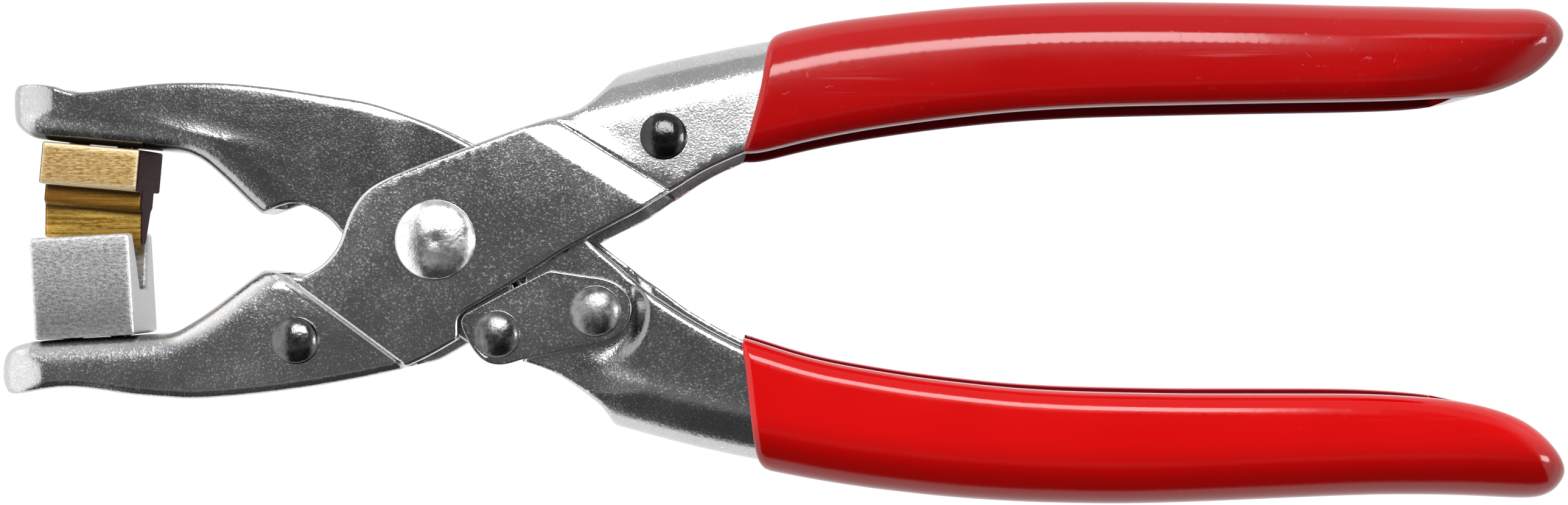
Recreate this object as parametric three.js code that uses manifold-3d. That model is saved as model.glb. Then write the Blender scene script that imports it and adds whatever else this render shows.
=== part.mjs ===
// Ferrule crimping pliers: three stamped sheet-steel arms, a pair of link plates, two crimping dies and two dipped
// plastic grips. Millimetres. The tool lies flat on its back: +X runs from the jaws to the handle ends, +Y from the lower
// handle to the upper one, +Z away from the surface it lies on. The outlines below are drawn about the middle of the
// tool's thickness, and the whole is then set so that the origin is under the middle of its footprint.
import * as THREE from "three";
import { mergeVertices } from "three/addons/utils/BufferGeometryUtils.js";
import Module from "manifold-3d";

const wasm = await Module();
wasm.setup();

// ---------------------------------------------------------------- driving dimensions
const SHEET = 1.7; // thickness of the arms and link plates
const MID_HALF = 8.2; // half width over the spread cheeks and the link plates
const JAW_HALF = 6.6; // half width over the lower jaw
const INNER_HALF = 6.3; // half width of the arms that work between the cheeks
const HANDLE_HALF = 7.4; // half width over the handle channels
const GRIP_HALF = 10.0; // half width over the grips
const HANDLE_BEND = 5.4; // outer radius of the handle channel's two long bends
const JAW_BEND = 2.5; // outer radius of the jaw troughs' bends
const GRIP_BEND = 4.6; // rounding of the grips' backs
const GRIP_LIP = 1.5; // rounding of the grips' lips
const LIP_GAP = 4.9; // half the gap between a grip's two lips
const HANDLE_END = 92.0; // where both handle channels end, inside the grips
const CLEAR = 0.1; // gap left between pieces that touch

const MAIN_PIVOT = [-47.83, 1.71];
const LOWER_JAW_RIVET = [-67.25, -12.1];
const UPPER_HANDLE_RIVET = [-16.54, 16.0];
const LINK_JAW_PIN = [-39.33, -11.21];
const LINK_HANDLE_PIN = [-25.83, -8.04];
const FULCRUM = [-31.96, 2.04];

const MAIN_HEAD = 5.5, MAIN_SHANK = 3.4, MAIN_DOME = 1.7;
const SMALL_HEAD = 3.25, SMALL_SHANK = 2.0, SMALL_DOME = 1.6;
const FULCRUM_SHANK = 1.9;
const BUSH_OUT = 4.5;
const RUNNING = 0.06; // radial clearance of the pivots
const LOOSE = 0.12; // radial clearance of the link pin in the jaw arm's tail

const DIE_HALF = 6.0;
const LOWER_DIE = { centre: [-97.0, -4.69], angle: 3.3, length: 13.9, height: 14.1 };
const UPPER_DIE = { centre: [-95.9, 11.86], angle: -5.1, length: 13.6, height: 5.85 };
const TONGUE = { length: 13.6, depth: 7.4, band: 2.3, bandHalf: 3.1, neckHalf: 2.35, tipHalf: 1.2 };
const SLOT = { depth: 7.8, topHalf: 3.8, bottomHalf: 1.6 };
const SCREW = { shank: 1.45, head: 2.7, headHeight: 1.7, spacing: 6.8 };

const ORIGIN = [-0.48, 0, -GRIP_HALF]; // middle of the footprint, underneath

// ---------------------------------------------------------------- outlines
const A = {
  jawBottom: [[-53.1, -16.2], [-59.48, -17.55], [-66.96, -18.8], [-74.44, -19.7], [-81.24, -20.18], [-84.94, -20.02], [-90.15, -19.62], [-94.26, -19.0], [-97.88, -18.6], [-100.65, -18.68], [-102.66, -18.95], [-105.44, -19.5], [-107.2, -19.55]],
  nose: [[-107.2, -19.55], [-108.4, -18.7], [-109.1, -16.66], [-108.75, -15.3], [-107.9, -13.95], [-106.5, -12.95], [-104.31, -12.36]],
  jawTop: [[-104.31, -12.36], [-96.21, -11.93], [-86.74, -11.37]],
  jawRise: [[-86.74, -11.37], [-84.4, -11.0], [-82.51, -9.95], [-79.3, -7.82], [-72.4, -2.48]],
  crown: [[-72.4, -2.48], [-69.23, -2.98], [-66.2, -3.25]],
  throat: [[-66.2, -3.25], [-64.75, -2.63], [-63.66, -1.96], [-62.58, -0.96], [-61.66, 0.21], [-60.99, 1.29], [-60.66, 2.38], [-60.16, 4.13], [-59.49, 5.63], [-58.65, 7.05], [-57.4, 8.47], [-55.82, 9.55], [-53.56, 10.64]],
  midTop: [[-53.56, 10.64], [-47.81, 12.89], [-42.8, 14.73], [-36.63, 16.98], [-32.5, 18.4]],
  webEnd: [[-32.5, 18.4], [-29.2, 19.3], [-26.55, 20.94], [-22.85, 24.8]],
  handleTop: [[-22.85, 24.96], [-16.81, 26.58], [-10.24, 27.95], [-2.39, 29.48], [9.9, 30.85], [22.95, 31.95], [36.01, 32.6], [49.07, 32.78], [60.76, 32.7], [76.11, 32.35], [HANDLE_END, 32.0]],
  handleBottom: [[HANDLE_END, 22.9], [82.0, 22.4], [74.61, 22.2], [59.56, 22.04], [48.1, 21.87], [35.3, 21.54], [26.77, 20.95], [18.23, 19.87], [9.7, 18.28], [1.17, 16.1], [-5.69, 13.59], [-9.37, 12.0], [-11.71, 10.83], [-14.05, 9.33], [-16.71, 7.73]],
  midBottom: [[-16.71, 7.73], [-20.02, 5.63], [-22.36, 4.46], [-24.7, 3.21], [-27.45, 1.71], [-30.54, 0.04], [-34.04, -2.21], [-37.88, -4.63], [-40.55, -6.22], [-43.14, -7.72]],
  notch: [[-43.14, -7.72], [-44.05, -8.3], [-44.64, -9.05], [-44.72, -10.05], [-44.72, -11.9]],
  midLow: [[-44.72, -11.9], [-49.06, -14.4], [-53.1, -16.2]],
  jawStep: [[-66.98, -4.64], [-52.6, -15.34]], // the cheeks step outward by one sheet thickness here
  handleStep: [[-32.12, 18.53], [-16.48, 8.74]], // and ease back to the handle's width here
};
const B = {
  nose: [[-102.4, 15.6], [-104.05, 15.9], [-105.5, 16.75], [-106.9, 18.36], [-107.6, 20.6], [-107.4, 22.2], [-106.6, 23.15]],
  noseTop: [[-106.6, 23.15], [-103.4, 23.25], [-100.7, 22.9]],
  lip: [[-100.7, 22.9], [-98.04, 22.1], [-94.68, 22.3]],
  top: [[-94.68, 22.3], [-90.48, 22.87], [-85.61, 23.35], [-81.25, 23.42], [-76.63, 23.3], [-69.92, 22.62], [-63.12, 21.6], [-57.75, 20.75], [-53.72, 19.52], [-49.69, 18.05], [-46.5, 16.62], [-43.06, 14.81]],
  hub: [[-43.06, 14.81], [-40.71, 12.6], [-39.37, 9.61], [-38.95, 5.83], [-39.03, 1.72]],
  tailRight: [[-39.03, 1.72], [-36.4, -9.5]],
  tailEnd: [[-36.4, -9.5], [-36.12, -11.29], [-36.5, -12.8], [-37.43, -13.9], [-38.78, -14.5], [-40.29, -14.5], [-41.75, -13.75]],
  tailLeft: [[-41.75, -13.75], [-54.39, -4.99]],
  hubLeft: [[-54.39, -4.99], [-56.74, -3.15], [-58.75, -0.97], [-60.1, 1.13], [-61.02, 2.64]],
  throat: [[-61.02, 2.64], [-61.86, 3.74], [-62.95, 4.91], [-64.46, 5.83], [-65.89, 6.5], [-67.4, 6.92], [-68.74, 6.84], [-70.0, 6.42], [-71.01, 6.0], [-72.5, 5.35]],
  web: [[-72.5, 5.35], [-74.48, 7.1], [-76.51, 9.17], [-78.62, 11.12], [-80.23, 12.5], [-82.0, 13.5], [-83.7, 13.95], [-86.06, 14.15]],
  webDie: [[-86.06, 14.15], [-102.4, 15.6]],
};
const C = {
  boss: [[-35.67, 2.06], [-35.25, 3.82], [-34.16, 4.99], [-32.15, 5.58], [-30.3, 5.08], [-28.71, 3.57], [-26.75, 1.4]],
  top: [[-26.75, 1.4], [-24.96, -0.1], [-22.03, -2.6], [-19.68, -4.8], [-17.76, -6.0], [-14.82, -7.95], [-10.8, -10.35], [-6.11, -12.75], [1.17, -15.8], [9.72, -18.63], [18.26, -20.14], [26.8, -21.23], [42.88, -21.5], [59.63, -21.62], [73.87, -21.82], [HANDLE_END, -23.2]],
  bottom: [[HANDLE_END, -31.75], [75.26, -31.95], [63.23, -32.4], [49.07, -32.82], [36.01, -32.7], [22.95, -32.0], [9.9, -30.72], [1.19, -29.65], [-3.67, -28.97], [-11.01, -27.43], [-17.49, -25.81], [-23.6, -24.1]],
  front: [[-23.6, -24.1], [-24.95, -21.55], [-28.14, -18.86], [-32.01, -16.42], [-36.1, -15.0]],
  left: [[-36.1, -15.0], [-35.1, -12.9], [-34.7, -10.9], [-35.1, -8.02], [-35.85, -4.66], [-36.05, -1.3], [-35.67, 2.06]],
  recess: 6.5, // radius of the sunk seat that the link plate's end swings in
};
const LINK = [[-44.3, -9.47], [-44.1, -8.75], [-43.64, -8.39], [-37.88, -5.3], [-32.21, -2.46], [-29.45, -2.88], [-26.62, -3.3], [-24.61, -3.6], [-22.78, -4.38], [-21.61, -5.46], [-20.9, -7.13], [-21.11, -9.05], [-22.19, -10.8], [-23.86, -11.97], [-25.61, -12.56], [-36.13, -14.73], [-37.8, -15.25], [-39.38, -15.39], [-40.97, -14.95], [-42.3, -13.75], [-43.22, -12.31], [-44.22, -10.22]];
const GRIP_UPPER = {
  left: [[-0.6, 30.5], [-1.6, 29.85], [-2.27, 28.35], [-2.86, 24.57], [-3.7, 20.37], [-4.28, 18.44], [-5.21, 14.91], [-5.75, 13.2]],
  lip: [[-5.75, 13.2], [-5.2, 12.85], [-4, 13.0], [1, 14.34], [6.03, 15.44], [16.1, 17.12], [26.1, 18.38], [36.2, 19.23], [46.2, 19.67], [66.3, 20.1], [81.4, 20.36], [91.5, 20.85], [96.5, 21.6], [99.5, 22.6], [102, 23.56], [103.8, 24.57], [105, 25.6], [106.05, 26.6], [106.8, 27.6], [107.5, 28.6], [108, 29.63], [108.15, 30.64]],
  top: [[108.15, 30.64], [107.95, 31.8], [107.3, 32.8], [106.3, 33.6], [104.6, 33.97], [102.2, 33.95], [97.1, 33.9], [87, 34.12], [76.9, 34.29], [66.8, 34.55], [56.6, 34.71], [46.5, 34.8], [36.4, 34.63], [26.3, 34.13], [16.2, 33.2], [6.07, 31.93], [-0.6, 30.5]],
};
const GRIP_LOWER = {
  left: [[-5.6, -11.75], [-5.85, -12.9], [-5.4, -14.6], [-4.85, -19.62], [-4.1, -26], [-3.45, -29], [-2.48, -30.2]],
  bottom: [[-2.48, -30.2], [1.01, -30.9], [6.07, -31.81], [16.2, -33.2], [26.3, -34.17], [36.4, -34.69], [46.5, -34.86], [56.6, -34.6], [76.9, -33.75], [92, -33.64], [97.1, -33.85], [102.2, -34.12], [104.6, -34.18], [106.2, -33.95], [107.3, -33.2], [107.95, -32.1], [108.15, -30.95]],
  lip: [[108.15, -30.95], [108, -29.85], [107.6, -28.75], [107, -27.7], [106.25, -26.7], [105.4, -25.76], [104.3, -24.75], [103, -23.7], [101.25, -22.7], [98.55, -21.7], [95.1, -20.85], [86.4, -19.81], [76.4, -19.48], [56.3, -19.46], [46.2, -19.3], [36.2, -18.97], [26.1, -18.13], [16.1, -16.88], [6.03, -15.12], [1, -13.86], [-4, -12.19], [-5.6, -11.75]],
};

// ---------------------------------------------------------------- shape helpers
const add2 = (a, b, k = 1) => [a[0] + b[0] * k, a[1] + b[1] * k];

// one run of an outline, smoothed through its points
function smooth(points, per = 2) {
  if (points.length < 3) return points.map((p) => [...p]);
  const curve = new THREE.SplineCurve(points.map((p) => new THREE.Vector2(...p)));
  return curve.getPoints((points.length - 1) * per).map((v) => [v.x, v.y]);
}
// runs joined end to end into one closed outline, with a corner where two runs meet
function outline(runs, per = 2) {
  const all = [];
  for (const run of runs) for (const p of smooth(run, run.length > 9 ? 1 : per)) {
    const last = all[all.length - 1];
    if (!last || Math.hypot(p[0] - last[0], p[1] - last[1]) > 0.05) all.push(p);
  }
  const [a, z] = [all[0], all[all.length - 1]];
  if (Math.hypot(a[0] - z[0], a[1] - z[1]) < 0.05) all.pop();
  return all;
}
// a path moved sideways: to its left for a positive distance
function offset(path, distance) {
  return path.map((p, i) => {
    const a = path[Math.max(0, i - 1)], b = path[Math.min(path.length - 1, i + 1)];
    const dx = b[0] - a[0], dy = b[1] - a[1], l = Math.hypot(dx, dy);
    return [p[0] - (dy / l) * distance, p[1] + (dx / l) * distance];
  });
}
const shapeOf = (points) => new THREE.Shape(points.map((p) => new THREE.Vector2(p[0], p[1])));

function toSolid(geometry) {
  const g = geometry.clone();
  g.deleteAttribute("normal");
  g.deleteAttribute("uv");
  const m = mergeVertices(g, 1e-4);
  const index = m.index.array, tri = [];
  for (let i = 0; i < index.length; i += 3) {
    const [a, b, c] = [index[i], index[i + 1], index[i + 2]];
    if (a !== b && b !== c && a !== c) tri.push(a, b, c);
  }
  return new wasm.Manifold(new wasm.Mesh({
    numProp: 3, vertProperties: new Float32Array(m.attributes.position.array), triVerts: new Uint32Array(tri),
  }));
}
function toGeometry(solid) {
  const mesh = solid.getMesh();
  const g = new THREE.BufferGeometry();
  g.setAttribute("position", new THREE.BufferAttribute(new Float32Array(mesh.vertProperties), 3));
  g.setIndex(new THREE.BufferAttribute(new Uint32Array(mesh.triVerts), 1));
  g.computeVertexNormals();
  return g;
}
// a plane outline between two heights
function slab(points, z0, z1) {
  const g = new THREE.ExtrudeGeometry(shapeOf(points), { depth: z1 - z0, bevelEnabled: false, curveSegments: 8 });
  g.translate(0, 0, z0);
  return toSolid(g);
}
// a plane outline, rounded towards both faces
function roundedSlab(points, half, radius, segments = 3) {
  const g = new THREE.ExtrudeGeometry(shapeOf(points), {
    depth: 2 * (half - radius), bevelEnabled: true, bevelThickness: radius, bevelSize: radius, bevelOffset: -radius, bevelSegments: segments,
  });
  g.translate(0, 0, -(half - radius));
  return toSolid(g);
}
// everything on the left of the line p-q, moved s further left
function leftOf(p, q, s, half = 20) {
  const d = [q[0] - p[0], q[1] - p[1]], l = Math.hypot(...d);
  const u = [d[0] / l, d[1] / l], n = [-u[1], u[0]];
  const c = add2(p, n, s);
  return slab([add2(c, u, -260), add2(c, u, 260), add2(add2(c, u, 260), n, 400), add2(add2(c, u, -260), n, 400)], -half, half);
}
// a body whose half width changes from h0 to h1 between s0 and s1, measured to the left of the line p-q
function stepped(p, q, s0, h0, s1, h1) {
  const d = [q[0] - p[0], q[1] - p[1]], l = Math.hypot(...d);
  const u = new THREE.Vector3(d[0] / l, d[1] / l, 0), n = new THREE.Vector3(-u.y, u.x, 0), k = new THREE.Vector3(0, 0, 1);
  const g = new THREE.ExtrudeGeometry(shapeOf([[-250, -h0], [s0, -h0], [s1, -h1], [250, -h1], [250, h1], [s1, h1], [s0, h0], [-250, h0]]), { depth: 500, bevelEnabled: false });
  g.applyMatrix4(new THREE.Matrix4().makeBasis(n, k, u).setPosition(p[0] - u.x * 250, p[1] - u.y * 250, 0));
  return toSolid(g);
}
const FACETS = 20;
function cylinder([x, y], r, z0, z1, facets = FACETS) {
  const g = new THREE.CylinderGeometry(r, r, z1 - z0, facets);
  g.rotateX(Math.PI / 2);
  g.translate(x, y, (z0 + z1) / 2);
  return toSolid(g);
}
// a body of revolution about a line along Z, from (radius, height) pairs
function turned([x, y], profile, facets = FACETS) {
  const g = new THREE.LatheGeometry(profile.map((p) => new THREE.Vector2(p[0], p[1])), facets);
  g.rotateX(Math.PI / 2);
  g.translate(x, y, 0);
  return toSolid(g);
}
// a rivet with a domed head outside each of the two plates it joins
function rivet(at, shank, head, half, dome, facets = FACETS) {
  const seat = half + 0.05, rim = 0.35, arc = [];
  for (let i = 0; i <= 4; i++) {
    const a = (i / 4) * (Math.PI / 2);
    arc.push([head * Math.cos(a), seat + rim + (dome - rim) * Math.sin(a)]);
  }
  arc[arc.length - 1][0] = 0;
  const top = [[shank, seat], [head, seat], ...arc];
  const low = top.map(([r, z]) => [r, -z]).reverse();
  return turned(at, [...low, ...top], facets);
}
function sleeve(at, inner, outer, half, facets = FACETS) {
  return cylinder(at, outer, -half, half, facets).subtract(cylinder(at, inner, -half - 1, half + 1, facets));
}
const both = (make) => make(1).add(make(-1));

// ---------------------------------------------------------------- frame arm: lower jaw, spread cheeks, upper handle
function frameArm() {
  const plan = outline([A.jawBottom, A.nose, A.jawTop, A.jawRise, A.crown, A.throat, A.midTop, A.webEnd, A.handleTop, A.handleBottom, A.midBottom, A.notch, A.midLow]);
  const [j0, j1] = A.jawStep, [h0, h1] = A.handleStep;
  // outer and inner faces of the cheeks along the arm
  const outer = stepped(j0, j1, -0.7, JAW_HALF, 0.6, MID_HALF).intersect(stepped(h0, h1, -2.8, MID_HALF, 0, HANDLE_HALF));
  const inner = stepped(j0, j1, 0.3, JAW_HALF - SHEET, 1.4, MID_HALF - SHEET).intersect(stepped(h0, h1, -3.2, MID_HALF - SHEET, -0.4, HANDLE_HALF - SHEET));
  // the jaw's trough and the handle's channel, closed by a web on one side
  const jawWeb = [[-109.1, -27], [-109.2, -17.0], ...A.nose.slice(4), ...A.jawTop.slice(1), ...A.jawRise.slice(1)];
  const jawShape = [...jawWeb, [-60, 5], [-40, -27]];
  const jawInner = [...offset(jawWeb, -SHEET), [-60, 3.2], [-40, -27]];
  const lead = [[-40.0, 19.2], [-31.0, 22.5]];
  const handleWeb = [...lead, ...smooth(A.handleTop, 1), [HANDLE_END + 12, 31.8]];
  const handleShape = [...handleWeb, [HANDLE_END + 12, -4], [-40, -4]];
  const handleInner = [...offset(handleWeb, -SHEET), [HANDLE_END + 14, -6], [-42, -6]];
  const jawSide = leftOf(j1, j0, 0.68), handleSide = leftOf(h0, h1, -0.02);
  const midSide = leftOf(j0, j1, -0.7).intersect(leftOf(h1, h0, 0));
  const envelope = jawSide.intersect(roundedSlab(jawShape, JAW_HALF, JAW_BEND)).add(midSide)
    .add(handleSide.intersect(roundedSlab(handleShape, HANDLE_HALF, HANDLE_BEND)));
  const hollow = jawSide.intersect(roundedSlab(jawInner, JAW_HALF - SHEET, JAW_BEND - SHEET)).add(midSide)
    .add(handleSide.intersect(roundedSlab(handleInner, HANDLE_HALF - SHEET, HANDLE_BEND - SHEET)));
  let arm = slab(plan, -MID_HALF, MID_HALF).intersect(outer).intersect(envelope).subtract(inner.intersect(hollow));
  arm = arm.subtract(cylinder(MAIN_PIVOT, MAIN_SHANK + CLEAR, -20, 20))
    .subtract(cylinder(LOWER_JAW_RIVET, SMALL_SHANK + CLEAR, -20, 20))
    .subtract(cylinder(UPPER_HANDLE_RIVET, SMALL_SHANK + CLEAR, -20, 20))
    .subtract(cylinder(FULCRUM, FULCRUM_SHANK + CLEAR, -7.5, 7.5));
  for (const at of dieScrewsAt(LOWER_DIE, -1)) arm = arm.subtract(tilted(cylinder([0, 0], SCREW.shank + CLEAR, -6, 6, 16), at));
  return arm;
}

// ---------------------------------------------------------------- upper jaw arm: trough, hub and tail
function upperJawArm() {
  const plan = outline([B.nose, B.noseTop, B.lip, B.top, B.hub, B.tailRight, B.tailEnd, B.tailLeft, B.hubLeft, B.throat, B.web, B.webDie]);
  const web = [[-107.6, 31], [-107.65, 20.7], [-107.05, 18.6], [-105.7, 16.9], [-104.0, 15.95], [-102.4, 15.6], ...[...B.web].reverse()];
  const shape = [...web, [-66, -0.6], [-30, -30], [-20, 31]];
  const inner = [...offset(web, SHEET), [-67, 1.9], [-36, -30], [-20, 31]];
  let arm = slab(plan, -INNER_HALF, INNER_HALF).intersect(roundedSlab(shape, INNER_HALF, JAW_BEND))
    .subtract(roundedSlab(inner, INNER_HALF - SHEET, JAW_BEND - SHEET));
  arm = arm.subtract(cylinder(MAIN_PIVOT, BUSH_OUT + RUNNING, -20, 20))
    .subtract(cylinder(LINK_JAW_PIN, SMALL_SHANK + LOOSE, -20, 20));
  for (const at of dieScrewsAt(UPPER_DIE, 1)) arm = arm.subtract(tilted(cylinder([0, 0], SCREW.shank + CLEAR, -6, 6, 16), at));
  return arm;
}

// ---------------------------------------------------------------- lower handle arm: fulcrum boss, sunk link seat, channel
function lowerHandleArm() {
  const plan = outline([C.boss, C.top, C.bottom, C.front, C.left]);
  const lead = [[-44, -15.5], [-33, -20.6]];
  const web = [...lead, ...smooth([...C.bottom].reverse(), 1).slice(0, -1), [HANDLE_END + 12, -31.6]];
  const shape = [...web, [HANDLE_END + 12, 12], [-44, 12]];
  const inner = [...offset(web, SHEET), [HANDLE_END + 14, 14], [-46, 14]];
  // the seat: everything left of the link pin, with a round end about it
  const seat = (grow) => {
    const [x, y] = LINK_HANDLE_PIN, r = C.recess + grow, pts = [[-60, -40], [x - 4, -40], [x - 4 + grow, y - r]];
    for (let i = 0; i <= 12; i++) {
      const a = (-90 + (i * 180) / 12) * (Math.PI / 180);
      pts.push([x + r * Math.cos(a), y + r * Math.sin(a)]);
    }
    pts.push([x, 20], [-60, 20]);
    return pts;
  };
  const sunk = (face, depth) => both((s) => {
    // a shallow pocket with a sloping edge, cut from the face down
    const g = new THREE.ExtrudeGeometry(shapeOf(seat(depth * 1.1)), { depth: 6, bevelEnabled: true, bevelThickness: depth, bevelSize: depth * 1.1, bevelOffset: -depth * 1.1, bevelSegments: 1 });
    g.translate(0, 0, face + depth);
    const up = toSolid(g).intersect(slab([[-100, -60], [100, -60], [100, 60], [-100, 60]], face, face + depth + 2));
    return s > 0 ? up : up.mirror([0, 0, 1]);
  });
  const drop = HANDLE_HALF - INNER_HALF;
  const outer = roundedSlab(shape, HANDLE_HALF, HANDLE_BEND).subtract(sunk(INNER_HALF, drop));
  const hollow = roundedSlab(inner, HANDLE_HALF - SHEET, HANDLE_BEND - SHEET).subtract(sunk(INNER_HALF - SHEET, drop));
  let arm = slab(plan, -HANDLE_HALF, HANDLE_HALF).intersect(outer).subtract(hollow);
  return arm.subtract(cylinder(LINK_HANDLE_PIN, SMALL_SHANK + RUNNING, -20, 20)).subtract(cylinder(FULCRUM, FULCRUM_SHANK + RUNNING, -20, 20));
}

// ---------------------------------------------------------------- dies and their screws
// where the two screws of a die stand: a line through the die and the jaw's web
function dieScrewsAt(die, side) {
  const a = (die.angle * Math.PI) / 180, u = [Math.cos(a), Math.sin(a)], n = [-u[1] * side, u[0] * side];
  return [-0.5, 0.5].map((k) => ({ at: add2(add2(die.centre, u, k * SCREW.spacing), n, die.height / 2), dir: n }));
}
// a solid along Z, stood up so that its +Z follows dir at the point
function tilted(solid, { at, dir }) {
  const k = [dir[0], dir[1], 0], i = [0, 0, 1], j = [k[1] * i[2] - k[2] * i[1], k[2] * i[0] - k[0] * i[2], k[0] * i[1] - k[1] * i[0]];
  return solid.transform([i[0], i[1], i[2], 0, j[0], j[1], j[2], 0, k[0], k[1], k[2], 0, at[0], at[1], 0, 1]);
}
// a bar along X' of the given section (across Z, along Y')
function bar(section, length, die) {
  const g = new THREE.ExtrudeGeometry(shapeOf(section), { depth: length, bevelEnabled: false });
  const a = (die.angle * Math.PI) / 180, u = new THREE.Vector3(Math.cos(a), Math.sin(a), 0), v = new THREE.Vector3(-u.y, u.x, 0), w = new THREE.Vector3(0, 0, 1);
  // section x runs along -Z so that the three directions are right-handed
  g.applyMatrix4(new THREE.Matrix4().makeBasis(w.clone().negate(), v, u).setPosition(die.centre[0] - (u.x * length) / 2, die.centre[1] - (u.y * length) / 2, 0));
  return toSolid(g);
}
function lowerDie() {
  const h = LOWER_DIE.height / 2, c = 0.4, w = DIE_HALF;
  const section = [[-w, -h], [w, -h], [w, h - c], [w - c, h], [SLOT.topHalf, h], [SLOT.bottomHalf, h - SLOT.depth], [-SLOT.bottomHalf, h - SLOT.depth], [-SLOT.topHalf, h], [-w + c, h], [-w, h - c]];
  let die = bar(section, LOWER_DIE.length, LOWER_DIE);
  for (const at of dieScrewsAt(LOWER_DIE, -1)) die = die.subtract(tilted(cylinder([0, 0], SCREW.shank + CLEAR, -5.2, 3, 16), at));
  return die;
}
function upperDie() {
  const h = UPPER_DIE.height / 2, c = 0.4, w = DIE_HALF, t = TONGUE;
  const section = [[-w, -h + c], [-w + c, -h], [-t.bandHalf, -h], [-t.bandHalf, -h - t.band], [-t.neckHalf, -h - t.band - 0.5], [-t.tipHalf, -h - t.depth], [t.tipHalf, -h - t.depth], [t.neckHalf, -h - t.band - 0.5], [t.bandHalf, -h - t.band], [t.bandHalf, -h], [w - c, -h], [w, -h + c], [w, h - c], [w - c, h], [-w + c, h], [-w, h - c]];
  let die = bar(section, UPPER_DIE.length, UPPER_DIE);
  for (const at of dieScrewsAt(UPPER_DIE, 1)) die = die.subtract(tilted(cylinder([0, 0], SCREW.shank + CLEAR, -4.6, 3, 16), at));
  return die;
}
// the head sits on the inside of the web
function dieScrew(at, reach) {
  const seat = SHEET + 3 * CLEAR;
  const body = cylinder([0, 0], SCREW.shank, -reach, seat + 0.2, 16).add(cylinder([0, 0], SCREW.head, seat, seat + SCREW.headHeight, 16))
    .subtract(cylinder([0, 0], 1.25, seat + 0.7, seat + SCREW.headHeight + 1, 6));
  return tilted(body, at);
}

// ---------------------------------------------------------------- grips
// side is +1 where the back of the grip is up (+Y), -1 where it is down
function grip(runs, back, front, [web, lip], side) {
  const plan = slab(outline(runs), -GRIP_HALF, GRIP_HALF), up = side * 60;
  const start = front[0], stop = front[front.length - 1];
  const body = plan.intersect(roundedSlab([add2(start, [-28, side * -8]), ...front, add2(stop, [4, side * 4.5]), [stop[0] + 4, start[1] + up], [start[0] - 28, start[1] + up]], GRIP_HALF, GRIP_LIP, 2));
  // the back and the closed end are rounder than the lips
  const y = back[back.length - 1][1], line = [...back, [104.8, y + side * 0.1], [107.9, y - side * 1.2], [109.3, y - side * 4.2], [109.5, y - side * 14]];
  const first = line[0], far = -side * 60;
  const hull = roundedSlab([add2(first, [-28, side * -5]), ...line, [109.7, first[1] + far], [-28.5, first[1] + far]], GRIP_HALF, GRIP_BEND);
  // the handle's channel lies in a pocket of its own shape, and the lips lap over its two edges
  const wall = offset(web, side * 0.2), edge = offset(lip, -side * 0.2), end = HANDLE_END + 0.3;
  const last = wall[wall.length - 1];
  const open = [...wall, [end, last[1]], [end, last[1] + far], [wall[0][0], wall[0][1] + far]];
  const pocket = roundedSlab([...wall, [end + 12, last[1]], [end + 12, last[1] + far], [wall[0][0], wall[0][1] + far]], HANDLE_HALF + 0.2, HANDLE_BEND + 0.1)
    .intersect(slab([...wall, [end, last[1]], [end, edge[edge.length - 1][1]], ...[...edge].reverse()], -12, 12));
  return body.intersect(hull).subtract(pocket).subtract(slab(open, -LIP_GAP, LIP_GAP));
}

// ---------------------------------------------------------------- the return spring round the main pivot's bush
function returnSpring() {
  const [x, y] = MAIN_PIVOT, r = 6.1, turns = 3.62, pts = [], start = 218, n = 58;
  const leg = (deg) => [Math.cos((deg * Math.PI) / 180), Math.sin((deg * Math.PI) / 180)];
  const a0 = leg(start), t0 = [-a0[1], a0[0]];
  pts.push(new THREE.Vector3(x + a0[0] * r - t0[0] * 9, y + a0[1] * r - t0[1] * 9, -3.3));
  pts.push(new THREE.Vector3(x + a0[0] * r - t0[0] * 4, y + a0[1] * r - t0[1] * 4, -3.25));
  for (let i = 0; i <= n; i++) {
    const c = leg(start + (i / n) * turns * 360);
    pts.push(new THREE.Vector3(x + c[0] * r, y + c[1] * r, -3.1 + (6.2 * i) / n));
  }
  const a1 = leg(start + turns * 360), t1 = [-a1[1], a1[0]];
  pts.push(new THREE.Vector3(x + a1[0] * r + t1[0] * 3, y + a1[1] * r + t1[1] * 3, 3.25));
  pts.push(new THREE.Vector3(x + a1[0] * r + t1[0] * 6, y + a1[1] * r + t1[1] * 6, 3.3));
  const wire = new THREE.Shape();
  for (let i = 0; i < 6; i++) {
    const a = (i * Math.PI) / 3;
    if (i) wire.lineTo(0.6 * Math.cos(a), 0.6 * Math.sin(a));
    else wire.moveTo(0.6, 0);
  }
  wire.closePath();
  return toSolid(new THREE.ExtrudeGeometry(wire, { steps: 72, bevelEnabled: false, extrudePath: new THREE.CatmullRomCurve3(pts) }));
}

// ---------------------------------------------------------------- the assembly
const steel = (shade, roughness) => ({ color: new THREE.Color(shade, shade, shade * 1.01), metalness: 0.95, roughness });
const PLATED = steel(0.52, 0.3), DARK = steel(0.42, 0.32), BRIGHT = steel(0.8, 0.2), GROUND = steel(0.6, 0.5);
const BRONZE = { color: new THREE.Color(0.6, 0.38, 0.12), metalness: 0.9, roughness: 0.4 };
const RED = { color: new THREE.Color(0.78, 0.01, 0.02), metalness: 0, roughness: 0.25 };
const RED_DEEP = { color: new THREE.Color(0.68, 0.01, 0.02), metalness: 0, roughness: 0.25 };

const pliers = new THREE.Group();
pliers.position.set(-ORIGIN[0], -ORIGIN[1], -ORIGIN[2]);
function piece(name, solid, look) {
  const mesh = new THREE.Mesh(toGeometry(solid), new THREE.MeshStandardMaterial(look));
  mesh.name = name;
  pliers.add(mesh);
}

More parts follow.
